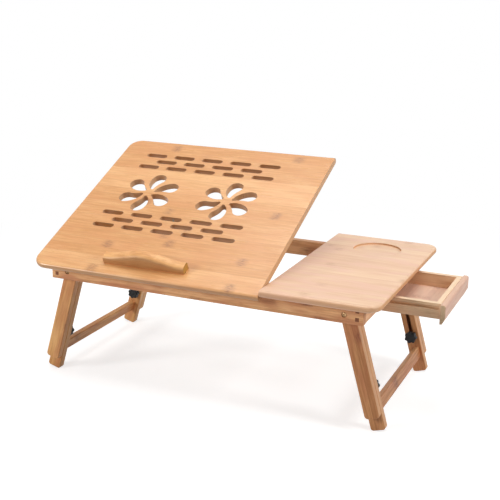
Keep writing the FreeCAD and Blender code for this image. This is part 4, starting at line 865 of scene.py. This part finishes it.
def joined(name: str, meshes: Sequence[Mesh], material: Material, angle: float) -> Piece:
    """Join meshes into one smooth-shaded piece.

    Args:
        name: Name of the piece.
        meshes: Its parts; they are used up.
        material: Material of all of it.
        angle: Edges sharper than this, in degrees, stay sharp.

    Returns:
        The piece.
    """
    shape = bmesh.new()
    for mesh in meshes:
        shape.from_mesh(mesh)
        bpy.data.meshes.remove(mesh)
    whole = bpy.data.meshes.new(name)
    shape.to_mesh(whole)
    shape.free()
    smooth(whole, angle)
    whole.materials.append(material)
    return new_object(name, whole)


# Screws ---------------------------------------------------------------

@dataclass(frozen=True)
class ScrewSize:
    """Sizes of one kind of screw, measured on the frame."""
    head_radius: float
    head_height: float
    shank_radius: float
    shank_length: float


@dataclass
class ScrewSet:
    """Screws of one body, made by Geometry Nodes at places measured on the frame."""
    stand: Stand
    crown: float = 0.45
    recess_share: float = 1.15
    recess_wide: float = 0.24
    recess_deep: float = 0.7
    head_sides: int = 28
    head_rings: int = 9
    shank_sides: int = 18

    def measure(self, points: list[Vector], axis: Vector) -> tuple[Vector, Vector, ScrewSize]:
        """Read a screw's place and sizes from its solid.

        Args:
            points: Points of the solid.
            axis: Direction of the screw, either way.

        Returns:
            Where the head sits, which way it faces, and the sizes.
        """
        rim_share, clear = 0.97, 0.1 * MM
        side = axis.orthogonal().normalized()
        other = axis.cross(side)
        spans = [[point.dot(way) for point in points] for way in (side, other, axis)]
        middle = [(min(span) + max(span)) / 2 for span in spans]
        radii = [math.hypot(a - middle[0], b - middle[1]) for a, b in zip(*spans[:2])]
        widest = max(radii)
        head = [along for along, radius in zip(spans[2], radii) if radius > rim_share * widest]
        outward = axis if sum(head) / len(head) > middle[2] else -axis
        face, seat = (max(head), min(head)) if outward == axis else (min(head), max(head))
        tall = abs(face - seat)
        shank = [radius for radius, along in zip(radii, spans[2])
                 if abs(along - face) > tall + clear]
        length = max(spans[2]) - min(spans[2]) - tall
        base = side * middle[0] + other * middle[1] + axis * seat
        return base, outward, ScrewSize(widest, tall, max(shank), length)

    def tree(self) -> Tree:
        """The tree that builds one screw and puts it at every point.

        Returns:
            The Geometry Nodes tree.
        """
        found = bpy.data.node_groups.get("screws")
        if found is not None:
            return found
        tree = bpy.data.node_groups.new("screws", "GeometryNodeTree")
        values = ("Head Radius", "Head Height", "Shank Radius", "Shank Length", "Crown",
                  "Recess Length", "Recess Width", "Recess Depth")
        for label, kind in (("Geometry", GEOMETRY), *((label, VALUE) for label in values),
                            ("Finish", MATERIAL)):
            tree.interface.new_socket(name=label, in_out="INPUT", socket_type=kind)
        tree.interface.new_socket(name="Geometry", in_out="OUTPUT", socket_type=GEOMETRY)
        wires = Wiring(tree)
        given, result = wires.add("NodeGroupInput"), wires.add("NodeGroupOutput")
        size = given.outputs

        def upright(height: Feed) -> Node:
            """A point on the screw's axis."""
            return wires.add("ShaderNodeCombineXYZ", {2: height})

        axis = wires.add("GeometryNodeCurvePrimitiveLine", {"End": upright(size["Head Height"])})
        rings = wires.add("GeometryNodeResampleCurve", {"Curve": axis, "Count": self.head_rings})
        rise = wires.add("GeometryNodeSplineParameter").outputs["Factor"]
        fall = wires.times(wires.math("POWER", rise, 3.0), size["Crown"])
        radius = wires.times(size["Head Radius"], wires.math("SUBTRACT", 1.0, fall))
        shaped = wires.add("GeometryNodeSetCurveRadius", {"Curve": rings, "Radius": radius})
        circle = wires.add("GeometryNodeCurvePrimitiveCircle", {"Resolution": self.head_sides,
                                                                "Radius": 1.0})
        head = wires.add("GeometryNodeCurveToMesh", {
            "Curve": shaped, "Profile Curve": circle, "Fill Caps": True,
            "Scale": wires.add("GeometryNodeInputRadius")})
        cut = wires.add("GeometryNodeMeshBoolean", {"Mesh 1": head}, operation="DIFFERENCE",
                        solver="MANIFOLD")
        for first, second in (("Recess Length", "Recess Width"), ("Recess Width", "Recess Length")):
            deep = wires.times(size["Recess Depth"], 2.0)
            block = wires.add("ShaderNodeCombineXYZ", {0: size[first], 1: size[second], 2: deep})
            arm = wires.add("GeometryNodeMeshCube", {"Size": block})
            raised = wires.add("GeometryNodeTransform", {
                "Geometry": arm, "Translation": upright(size["Head Height"])})
            wires.feed(cut.inputs["Mesh 2"], raised)
        shank = wires.add("GeometryNodeMeshCylinder", {
            "Vertices": self.shank_sides, "Radius": size["Shank Radius"],
            "Depth": size["Shank Length"]})
        lowered = wires.add("GeometryNodeTransform", {
            "Geometry": shank, "Translation": upright(wires.times(size["Shank Length"], -0.5))})
        screw = wires.add("GeometryNodeJoinGeometry")
        for part in (cut, lowered):
            wires.feed(screw.inputs[0], part)
        facing = wires.add("GeometryNodeInputNamedAttribute", {"Name": "facing"},
                           data_type="FLOAT_VECTOR")
        turned = wires.add("FunctionNodeAlignRotationToVector", {"Vector": facing}, axis="Z")
        placed = wires.add("GeometryNodeInstanceOnPoints", {
            "Points": given, "Instance": screw, "Rotation": turned})
        real = wires.add("GeometryNodeRealizeInstances", {"Geometry": placed})
        painted = wires.add("GeometryNodeSetMaterial", {"Geometry": real,
                                                        "Material": size["Finish"]})
        wires.feed(result.inputs[0], painted)
        return tree

    def build(self, name: str, node: str, body: str, axis: Vector,
              finish: Metal) -> Piece:
        """Replace one node of screws.

        Args:
            name: Name of the new piece.
            node: Node that it replaces.
            body: Body that it rides on.
            axis: Direction of the screws, either way.
            finish: Their metal.

        Returns:
            The new piece.
        """
        found = [self.measure(points, axis) for points in islands(self.stand.nodes[node])]
        size = found[0][2]
        points = bpy.data.meshes.new(name + " places")
        points.from_pydata([tuple(base) for base, _, _ in found], [], [])
        facing = points.attributes.new("facing", "FLOAT_VECTOR", "POINT")
        facing.data.foreach_set("vector", [value for _, way, _ in found for value in way])
        holder = new_object(name + "_places", points)
        modifier = holder.modifiers.new("screws", "NODES")
        modifier.node_group = self.tree()
        wanted = {"Head Radius": size.head_radius, "Head Height": size.head_height,
                  "Shank Radius": size.shank_radius, "Shank Length": size.shank_length,
                  "Crown": self.crown, "Recess Length": size.head_radius * self.recess_share,
                  "Recess Width": size.head_radius * self.recess_wide,
                  "Recess Depth": size.head_height * self.recess_deep,
                  "Finish": self.stand.shop.metal(finish)}
        for item in modifier.node_group.interface.items_tree:
            if item.item_type == "SOCKET" and item.in_out == "INPUT" and item.name in wanted:
                modifier[item.identifier] = wanted[item.name]
        graph = bpy.context.evaluated_depsgraph_get()
        mesh = bpy.data.meshes.new_from_object(holder.evaluated_get(graph), depsgraph=graph)
        holder.modifiers.remove(modifier)
        bpy.data.objects.remove(holder)
        mesh.name = name
        smooth(mesh)
        piece = new_object(name, mesh)
        self.stand.finish_piece(piece, body, finish.slot, node)
        return piece


# Knobs ----------------------------------------------------------------

@dataclass
class Knob:
    """Moulded lobed knob with a collar, finger hollows and a dished face."""
    stand: Stand
    lobes: int = 7
    steps: int = 20
    reach: float = 9.95 * MM
    hollow: float = 8.2 * MM
    collar: float = 6.0 * MM
    collar_high: float = 2.5 * MM
    bore: float = 2.55 * MM
    blind: float = 2.4 * MM
    fullness: float = 0.8
    crease: float = 40.0

    def outline(self, turn: float, inset: float) -> float:
        """Radius of the lobed rim.

        Args:
            turn: Angle round the knob.
            inset: How far the ring lies inside the full rim.

        Returns:
            The radius.
        """
        wave = 0.5 + 0.5 * math.cos(self.lobes * turn)
        return self.hollow + (self.reach - self.hollow) * wave ** self.fullness - inset

    def rings(self, high: float) -> list[tuple[float, float, float]]:
        """The knob's section from the bottom of its bore, down it and over the collar to its face.

        Args:
            high: Height over all.

        Returns:
            Height, radius and share of the lobed outline for each ring.
        """
        under = self.collar_high
        rim = self.reach
        return [
            (high - self.blind, self.bore, 0.0), (0.0, self.bore, 0.0),
            (0.0, self.collar - 0.3 * MM, 0.0), (0.3 * MM, self.collar, 0.0),
            (under - 0.4 * MM, self.collar, 0.0), (under, self.collar + 0.4 * MM, 0.0),
            (under + 0.1 * MM, rim - 1.0 * MM, 1.0), (under + 0.5 * MM, rim - 0.25 * MM, 1.0),
            (under + 1.2 * MM, rim, 1.0), (high - 1.6 * MM, rim - 0.15 * MM, 1.0),
            (high - 0.7 * MM, rim - 0.5 * MM, 1.0), (high - 0.15 * MM, rim - 1.3 * MM, 1.0),
            (high, rim - 2.4 * MM, 0.9), (high - 0.25 * MM, rim - 3.9 * MM, 0.6),
            (high - 0.7 * MM, 3.9 * MM, 0.1), (high - 0.5 * MM, 3.3 * MM, 0.0),
            (high - 0.35 * MM, 2.2 * MM, 0.0), (high - 0.3 * MM, 0.2 * MM, 0.0),
        ]

    def build(self, side: str, end: str) -> Piece:
        """Replace one knob.

        Args:
            side: Leg pair, left or right.
            end: Front or rear.

        Returns:
            The new piece.
        """
        node = "%s_%s_knob" % (side, end)
        joint = node + "_turn"
        centre, axis = self.stand.centre(joint), self.stand.axis(joint)
        low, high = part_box(node)
        way = 1.0 if axis.y > 0 else -1.0
        start, tall = low.y if way > 0 else high.y, high.y - low.y
        loops = []
        for height, radius, share in self.rings(tall):
            rim = [self.outline(turn, self.reach - radius)
                   for turn in even_turns(self.lobes * self.steps)]
            loops.append(turned(centre, [(radius + share * (lobed - radius), start + way * height)
                                         for lobed in rim]))
        name = node + "_moulded"
        piece = joined(name, [loft(name, loops)], self.stand.shop.plastic(KNOB), self.crease)
        self.stand.finish_piece(piece, "%s_%s_clamp" % (side, end), Slot.KNOB, node)
        return piece


# Nuts and studs -------------------------------------------------------

@dataclass
class Turnery:
    """Chamfered nuts and threaded studs, with their axes along Y."""
    stand: Stand
    pitch: float = 0.8 * MM
    thread_deep: float = 0.38 * MM
    around: int = 24
    levels: int = 5
    bore: float = 2.55 * MM
    chamfer: float = 0.35 * MM
    face_share: float = 0.96
    crease: float = 28.0

    def span(self, points: list[Vector]) -> tuple[Vector, Vector]:
        """Lowest and highest corner of some points."""
        return (Vector([min(point[axis] for point in points) for axis in range(3)]),
                Vector([max(point[axis] for point in points) for axis in range(3)]))

    def nut(self, points: list[Vector]) -> Mesh:
        """A six-sided nut with its corners turned off at both faces.

        Args:
            points: Points of the plain nut that it stands for.

        Returns:
            The nut.
        """
        low, high = self.span(points)
        middle = (low + high) / 2
        corner = max((point - middle for point in points), key=lambda arm: math.hypot(arm.x, arm.z))
        reach, first = math.hypot(corner.x, corner.z), math.atan2(corner.z, corner.x)
        sixth = math.pi / 3
        flat = reach * math.cos(sixth / 2)
        face = self.face_share * flat
        turns = even_turns(3 * self.around)
        sides = [flat / math.cos((turn - first) % sixth - sixth / 2) for turn in turns]
        rings = [[place] * len(turns) for place in
                 ((self.bore, self.chamfer), (self.bore + self.chamfer, 0.0), (face, 0.0))]
        rings.append([(side, (side - face) * math.tan(sixth / 2)) for side in sides])
        below, above = ([turned(middle, [(radius, edge + way * depth) for radius, depth in ring])
                         for ring in rings] for edge, way in ((low.y, 1), (high.y, -1)))
        loops = below + above[::-1]
        return loft("nut", loops, ring=True)

    def stud(self, points: list[Vector]) -> Mesh:
        """A stud with a thread along all of it and turned-down ends.

        Args:
            points: Points of the plain stud that it stands for.

        Returns:
            The stud.
        """
        low, high = self.span(points)
        middle, radius, length = (low + high) / 2, (high.x - low.x) / 2, high.y - low.y
        steps = round(length / self.pitch * self.levels)
        loops = []
        for level in range(steps + 1):
            along = length * level / steps
            top = radius - max(0.0, self.thread_deep - min(along, length - along))
            waves = [abs(2 * ((along / self.pitch + index / self.around) % 1.0) - 1)
                     for index in range(self.around)]
            loops.append(turned(middle, [(min(top, radius - self.thread_deep * wave),
                                          low.y + along) for wave in waves]))
        return loft("stud", loops)

    def build(self, name: str, node: str, body: str, kind: Callable[[list[Vector]], Mesh],
              finish: Metal) -> Piece:
        """Replace one node of nuts or studs.

        Args:
            name: Name of the new piece.
            node: Node that it replaces.
            body: Body that it rides on.
            kind: Builder of one nut or stud.
            finish: Its metal.

        Returns:
            The new piece.
        """
        parts = [kind(points) for points in islands(self.stand.nodes[node])]
        piece = joined(name, parts, self.stand.shop.metal(finish), self.crease)
        self.stand.finish_piece(piece, body, finish.slot, node)
        return piece


# Sub-assemblies -------------------------------------------------------

@dataclass
class Underframe:
    """Rails, divider, racks and the fixed board, with their hardware."""
    stand: Stand
    screws: ScrewSet

    def build(self) -> None:
        """Dress the boards and build the screws and nuts."""
        shop = self.stand.shop
        self.stand.dress(shop.bamboo(RAIL, Run.ALONG_X), "front_rail", "rear_rail")
        self.stand.dress(shop.bamboo(BROWN, Run.ALONG_Y), "left_rail", "right_rail_front",
                         "right_rail_rear", "divider_rail", "rack_left", "rack_right")
        self.stand.dress(shop.bamboo(CREAM, Run.ALONG_X), "runner_front", "runner_rear")
        self.stand.dress(shop.bamboo(PALE, Run.FLAT_X), "fixed_top")
        self.stand.dress(shop.metal(ZINC), "pivot_washers")
        self.stand.dress(shop.metal(LEAF), "hinge_left_lower_leaf", "hinge_right_lower_leaf",
                         "hinge_pins")
        self.screws.build("board_screws", "top_screws", "frame", UPRIGHT, ZINC)
        self.screws.build("rack_wood_screws", "rack_screws", "frame", SIDEWAYS, ZINC)
        self.screws.build("pivot_bolt_heads", "pivot_bolts", "frame", BACKWARD, BRASSY)
        self.screws.build("lower_leaf_screws", "hinge_lower_screws", "frame", UPRIGHT, LEAF)
        turnery = Turnery(self.stand)
        turnery.build("pivot_nuts_chamfered", "pivot_nuts", "frame", turnery.nut, ZINC)


@dataclass
class TiltBoard:
    """Vented board with its stopper, hinge leaves and the clips of the prop."""
    stand: Stand
    screws: ScrewSet

    def build(self) -> None:
        """Dress the board and its ledge and build the screws."""
        shop = self.stand.shop
        square = Vector((0, -math.sin(shop.tilt), math.cos(shop.tilt)))
        self.stand.dress(shop.bamboo(HONEY, Run.SLOPE), "tilt_top")
        self.stand.dress(shop.bamboo(AMBER, Run.SLOPE), "stopper")
        self.stand.dress(shop.metal(LEAF), "hinge_left_upper_leaf", "hinge_right_upper_leaf")
        self.stand.dress(shop.plastic(CLIP), "clip_left", "clip_right")
        self.screws.build("ledge_screws", "stopper_screws", "tilt_board", square, ZINC)
        self.screws.build("saddle_screws", "clip_screws", "tilt_board", square, ZINC)
        self.screws.build("upper_leaf_screws", "hinge_upper_screws", "tilt_board", square, LEAF)


@dataclass
class Prop:
    """Bent wire that holds the tilted board."""
    stand: Stand

    def build(self) -> None:
        """Dress the wire."""
        self.stand.dress(self.stand.shop.metal(DRAWN), "prop_bracket")


@dataclass
class LegPair:
    """Two telescoping legs with their stretcher, studs and knobs."""
    stand: Stand
    side: str
    run: Run
    finish: Bamboo

    def build(self) -> None:
        """Dress the boards and build the studs and knobs."""
        shop, side = self.stand.shop, self.side
        boards = ["%s_%s_%s" % (side, end, part) for end in ENDS for part in ("leg", "foot")]
        self.stand.dress(shop.bamboo(self.finish, self.run), *boards)
        self.stand.dress(shop.bamboo(self.finish, Run.ALONG_Y), side + "_stretcher")
        self.stand.dress(shop.metal(ZINC), side + "_washers")
        turnery = Turnery(self.stand)
        turnery.build(side + "_studs_threaded", side + "_studs", side + "_legs", turnery.stud, ZINC)
        knob = Knob(self.stand)
        for end in ENDS:
            knob.build(side, end)


@dataclass
class Drawer:
    """Side drawer with its grooved walls, thin bottom and bevelled panel."""
    stand: Stand
    screws: ScrewSet

    def build(self) -> None:
        """Dress the walls and build the panel's screws."""
        shop = self.stand.shop
        self.stand.dress(shop.bamboo(CREAM, Run.ALONG_X), "drawer_side_front", "drawer_side_rear")
        self.stand.dress(shop.bamboo(CREAM, Run.ALONG_Y), "drawer_end_outer", "drawer_end_inner")
        self.stand.dress(shop.bamboo(ROSY, Run.ALONG_Y), "drawer_panel")
        self.stand.dress(shop.bamboo(PINKISH, Run.FLAT_Y), "drawer_bottom")
        self.screws.build("panel_screws", "drawer_screws", "drawer", SIDEWAYS, ZINC)


# Studio ---------------------------------------------------------------

@dataclass(frozen=True)
class Viewpoint:
    """Where the camera stands and how it looks: angles in degrees, lens and sensor in mm."""
    place: tuple[float, float, float] = (0.57182, -1.36359, 0.62348)
    turn: float = 23.36
    dip: float = 15.88
    roll: float = 0.87
    lens: float = 70.67
    sensor: float = 36.0


@dataclass(frozen=True)
class Lamp:
    """A soft lamp aimed at the middle of the stand."""
    name: str
    place: tuple[float, float, float]
    size: float
    power: float


@dataclass
class Studio:
    """Pale floor, soft light and the camera."""
    view: Viewpoint = Viewpoint()
    lamps: tuple[Lamp, ...] = (
        Lamp("overhead", (0.0, 0.1, 2.0), 1.6, 25.0),
        Lamp("left front", (-1.6, -1.7, 0.9), 0.5, 23.2),
        Lamp("right", (2.1, -0.3, 1.2), 0.5, 21.2),
    )
    floor_half: float = 40.0
    floor_bounce: float = 0.6
    glow_near: float = 0.71
    shade_near: float = 0.56
    pool_inner: float = 0.35
    pool_outer: float = 1.1
    sky: float = 0.14
    aim_high: float = 0.15

    def seen(self, wires: Wiring) -> Socket:
        """Whether a ray comes from the camera, a mirror-like surface or through a clear one."""
        path = wires.add("ShaderNodeLightPath")
        first = wires.math("MAXIMUM", path.outputs["Is Camera Ray"], path.outputs["Is Glossy Ray"])
        return wires.math("MAXIMUM", first, path.outputs["Is Transmission Ray"])

    def build(self) -> None:
        """Build the floor, the sky, the lamps and the camera."""
        self.build_floor()
        self.build_sky()
        for lamp in self.lamps:
            self.build_lamp(lamp)
        self.build_camera()

    def build_floor(self) -> None:
        """A wide pale floor that keeps soft shadows."""
        half = self.floor_half
        mesh = bpy.data.meshes.new("floor")
        corners = [(-half, -half, 0), (half, -half, 0), (half, half, 0), (-half, half, 0)]
        mesh.from_pydata(corners, [], [(0, 1, 2, 3)])
        floor = new_object("floor", mesh)
        material = new_material("floor")
        wires, nodes = Wiring(material.node_tree), material.node_tree.nodes
        nodes.remove(nodes["Principled BSDF"])
        place = wires.add("ShaderNodeTexCoord").outputs["Object"]
        away = wires.vector("LENGTH", place).outputs["Value"]
        pool = (away, self.pool_inner, self.pool_outer)
        lit = wires.add("ShaderNodeBsdfDiffuse", {"Color": (self.floor_bounce,) * 3 + (1.0,)})
        shaded = wires.add("ShaderNodeBsdfDiffuse", {
            "Color": wires.step(*pool, self.shade_near, 0.0)})
        glow = wires.add("ShaderNodeEmission", {
            "Color": WHITE, "Strength": wires.step(*pool, self.glow_near, 1.0)})
        shown = wires.add("ShaderNodeAddShader", {0: shaded, 1: glow})
        both = wires.add("ShaderNodeMixShader", {0: self.seen(wires), 1: lit, 2: shown})
        wires.feed(nodes["Material Output"].inputs[0], both)
        mesh.materials.append(material)

    def build_sky(self) -> None:
        """Even light from all round, white where it is seen."""
        world = bpy.data.worlds.new("sky")
        world.use_nodes = True
        wires = Wiring(world.node_tree)
        light = world.node_tree.nodes["Background"]
        light.inputs["Color"].default_value = WHITE
        level = wires.add("ShaderNodeMapRange", {"Value": self.seen(wires), "To Min": self.sky,
                                                 "To Max": 1.0})
        wires.feed(light.inputs["Strength"], level)
        bpy.context.scene.world = world

    def build_lamp(self, lamp: Lamp) -> None:
        """Hang one soft lamp and aim it at the stand."""
        data = bpy.data.lights.new(lamp.name, "AREA")
        data.size = lamp.size
        data.energy = lamp.power
        place = Vector(lamp.place)
        aim = (Vector((0, 0, self.aim_high)) - place).to_track_quat("-Z", "Y")
        new_object(lamp.name, data).matrix_world = Matrix.LocRotScale(place, aim, None)

    def build_camera(self) -> None:
        """Set the camera at its viewpoint."""
        view = self.view
        turn, dip, roll = (math.radians(angle) for angle in (view.turn, view.dip, view.roll))
        ahead = Vector((-math.sin(turn) * math.cos(dip), math.cos(turn) * math.cos(dip),
                        -math.sin(dip)))
        level = Vector((math.cos(turn), math.sin(turn), 0))
        up = level.cross(ahead)
        right = math.cos(roll) * level + math.sin(roll) * up
        top = -math.sin(roll) * level + math.cos(roll) * up
        data = bpy.data.cameras.new("camera")
        data.lens = view.lens
        data.sensor_width = view.sensor
        camera = new_object("camera", data)
        axes = Matrix((right, top, -ahead)).transposed().to_4x4()
        camera.matrix_world = Matrix.Translation(view.place) @ axes
        bpy.context.scene.camera = camera


# Whole ----------------------------------------------------------------


def main() -> None:
    """Load the frame, dress every piece and set the studio."""
    logging.basicConfig(level=logging.INFO, format="%(name)s: %(message)s")
    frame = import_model()
    joints = {joint["name"]: joint for joint in frame["joints"]}
    hinge = Vector(joints["tilt"]["pos_m"])
    splay = math.atan2(abs(joints["left_extend"]["axis"][0]), joints["left_extend"]["axis"][2])
    tilt = -math.radians(joints["tilt"]["range_deg"][0])
    pivots = {Run.LEFT_LEG: Vector(joints["left_fold"]["pos_m"]),
              Run.RIGHT_LEG: Vector(joints["right_fold"]["pos_m"])}
    stand = Stand(frame["nodes"], joints, Paintshop(tilt, splay, hinge, pivots))
    screws = ScrewSet(stand)
    Underframe(stand, screws).build()
    TiltBoard(stand, screws).build()
    Prop(stand).build()
    LegPair(stand, "left", Run.LEFT_LEG, LEGS).build()
    LegPair(stand, "right", Run.RIGHT_LEG, DARKER_RIGHT_LEGS).build()
    Drawer(stand, screws).build()
    Studio().build()
    bpy.context.scene.view_settings.view_transform = "Standard"


if __name__ == "__main__":
    main()
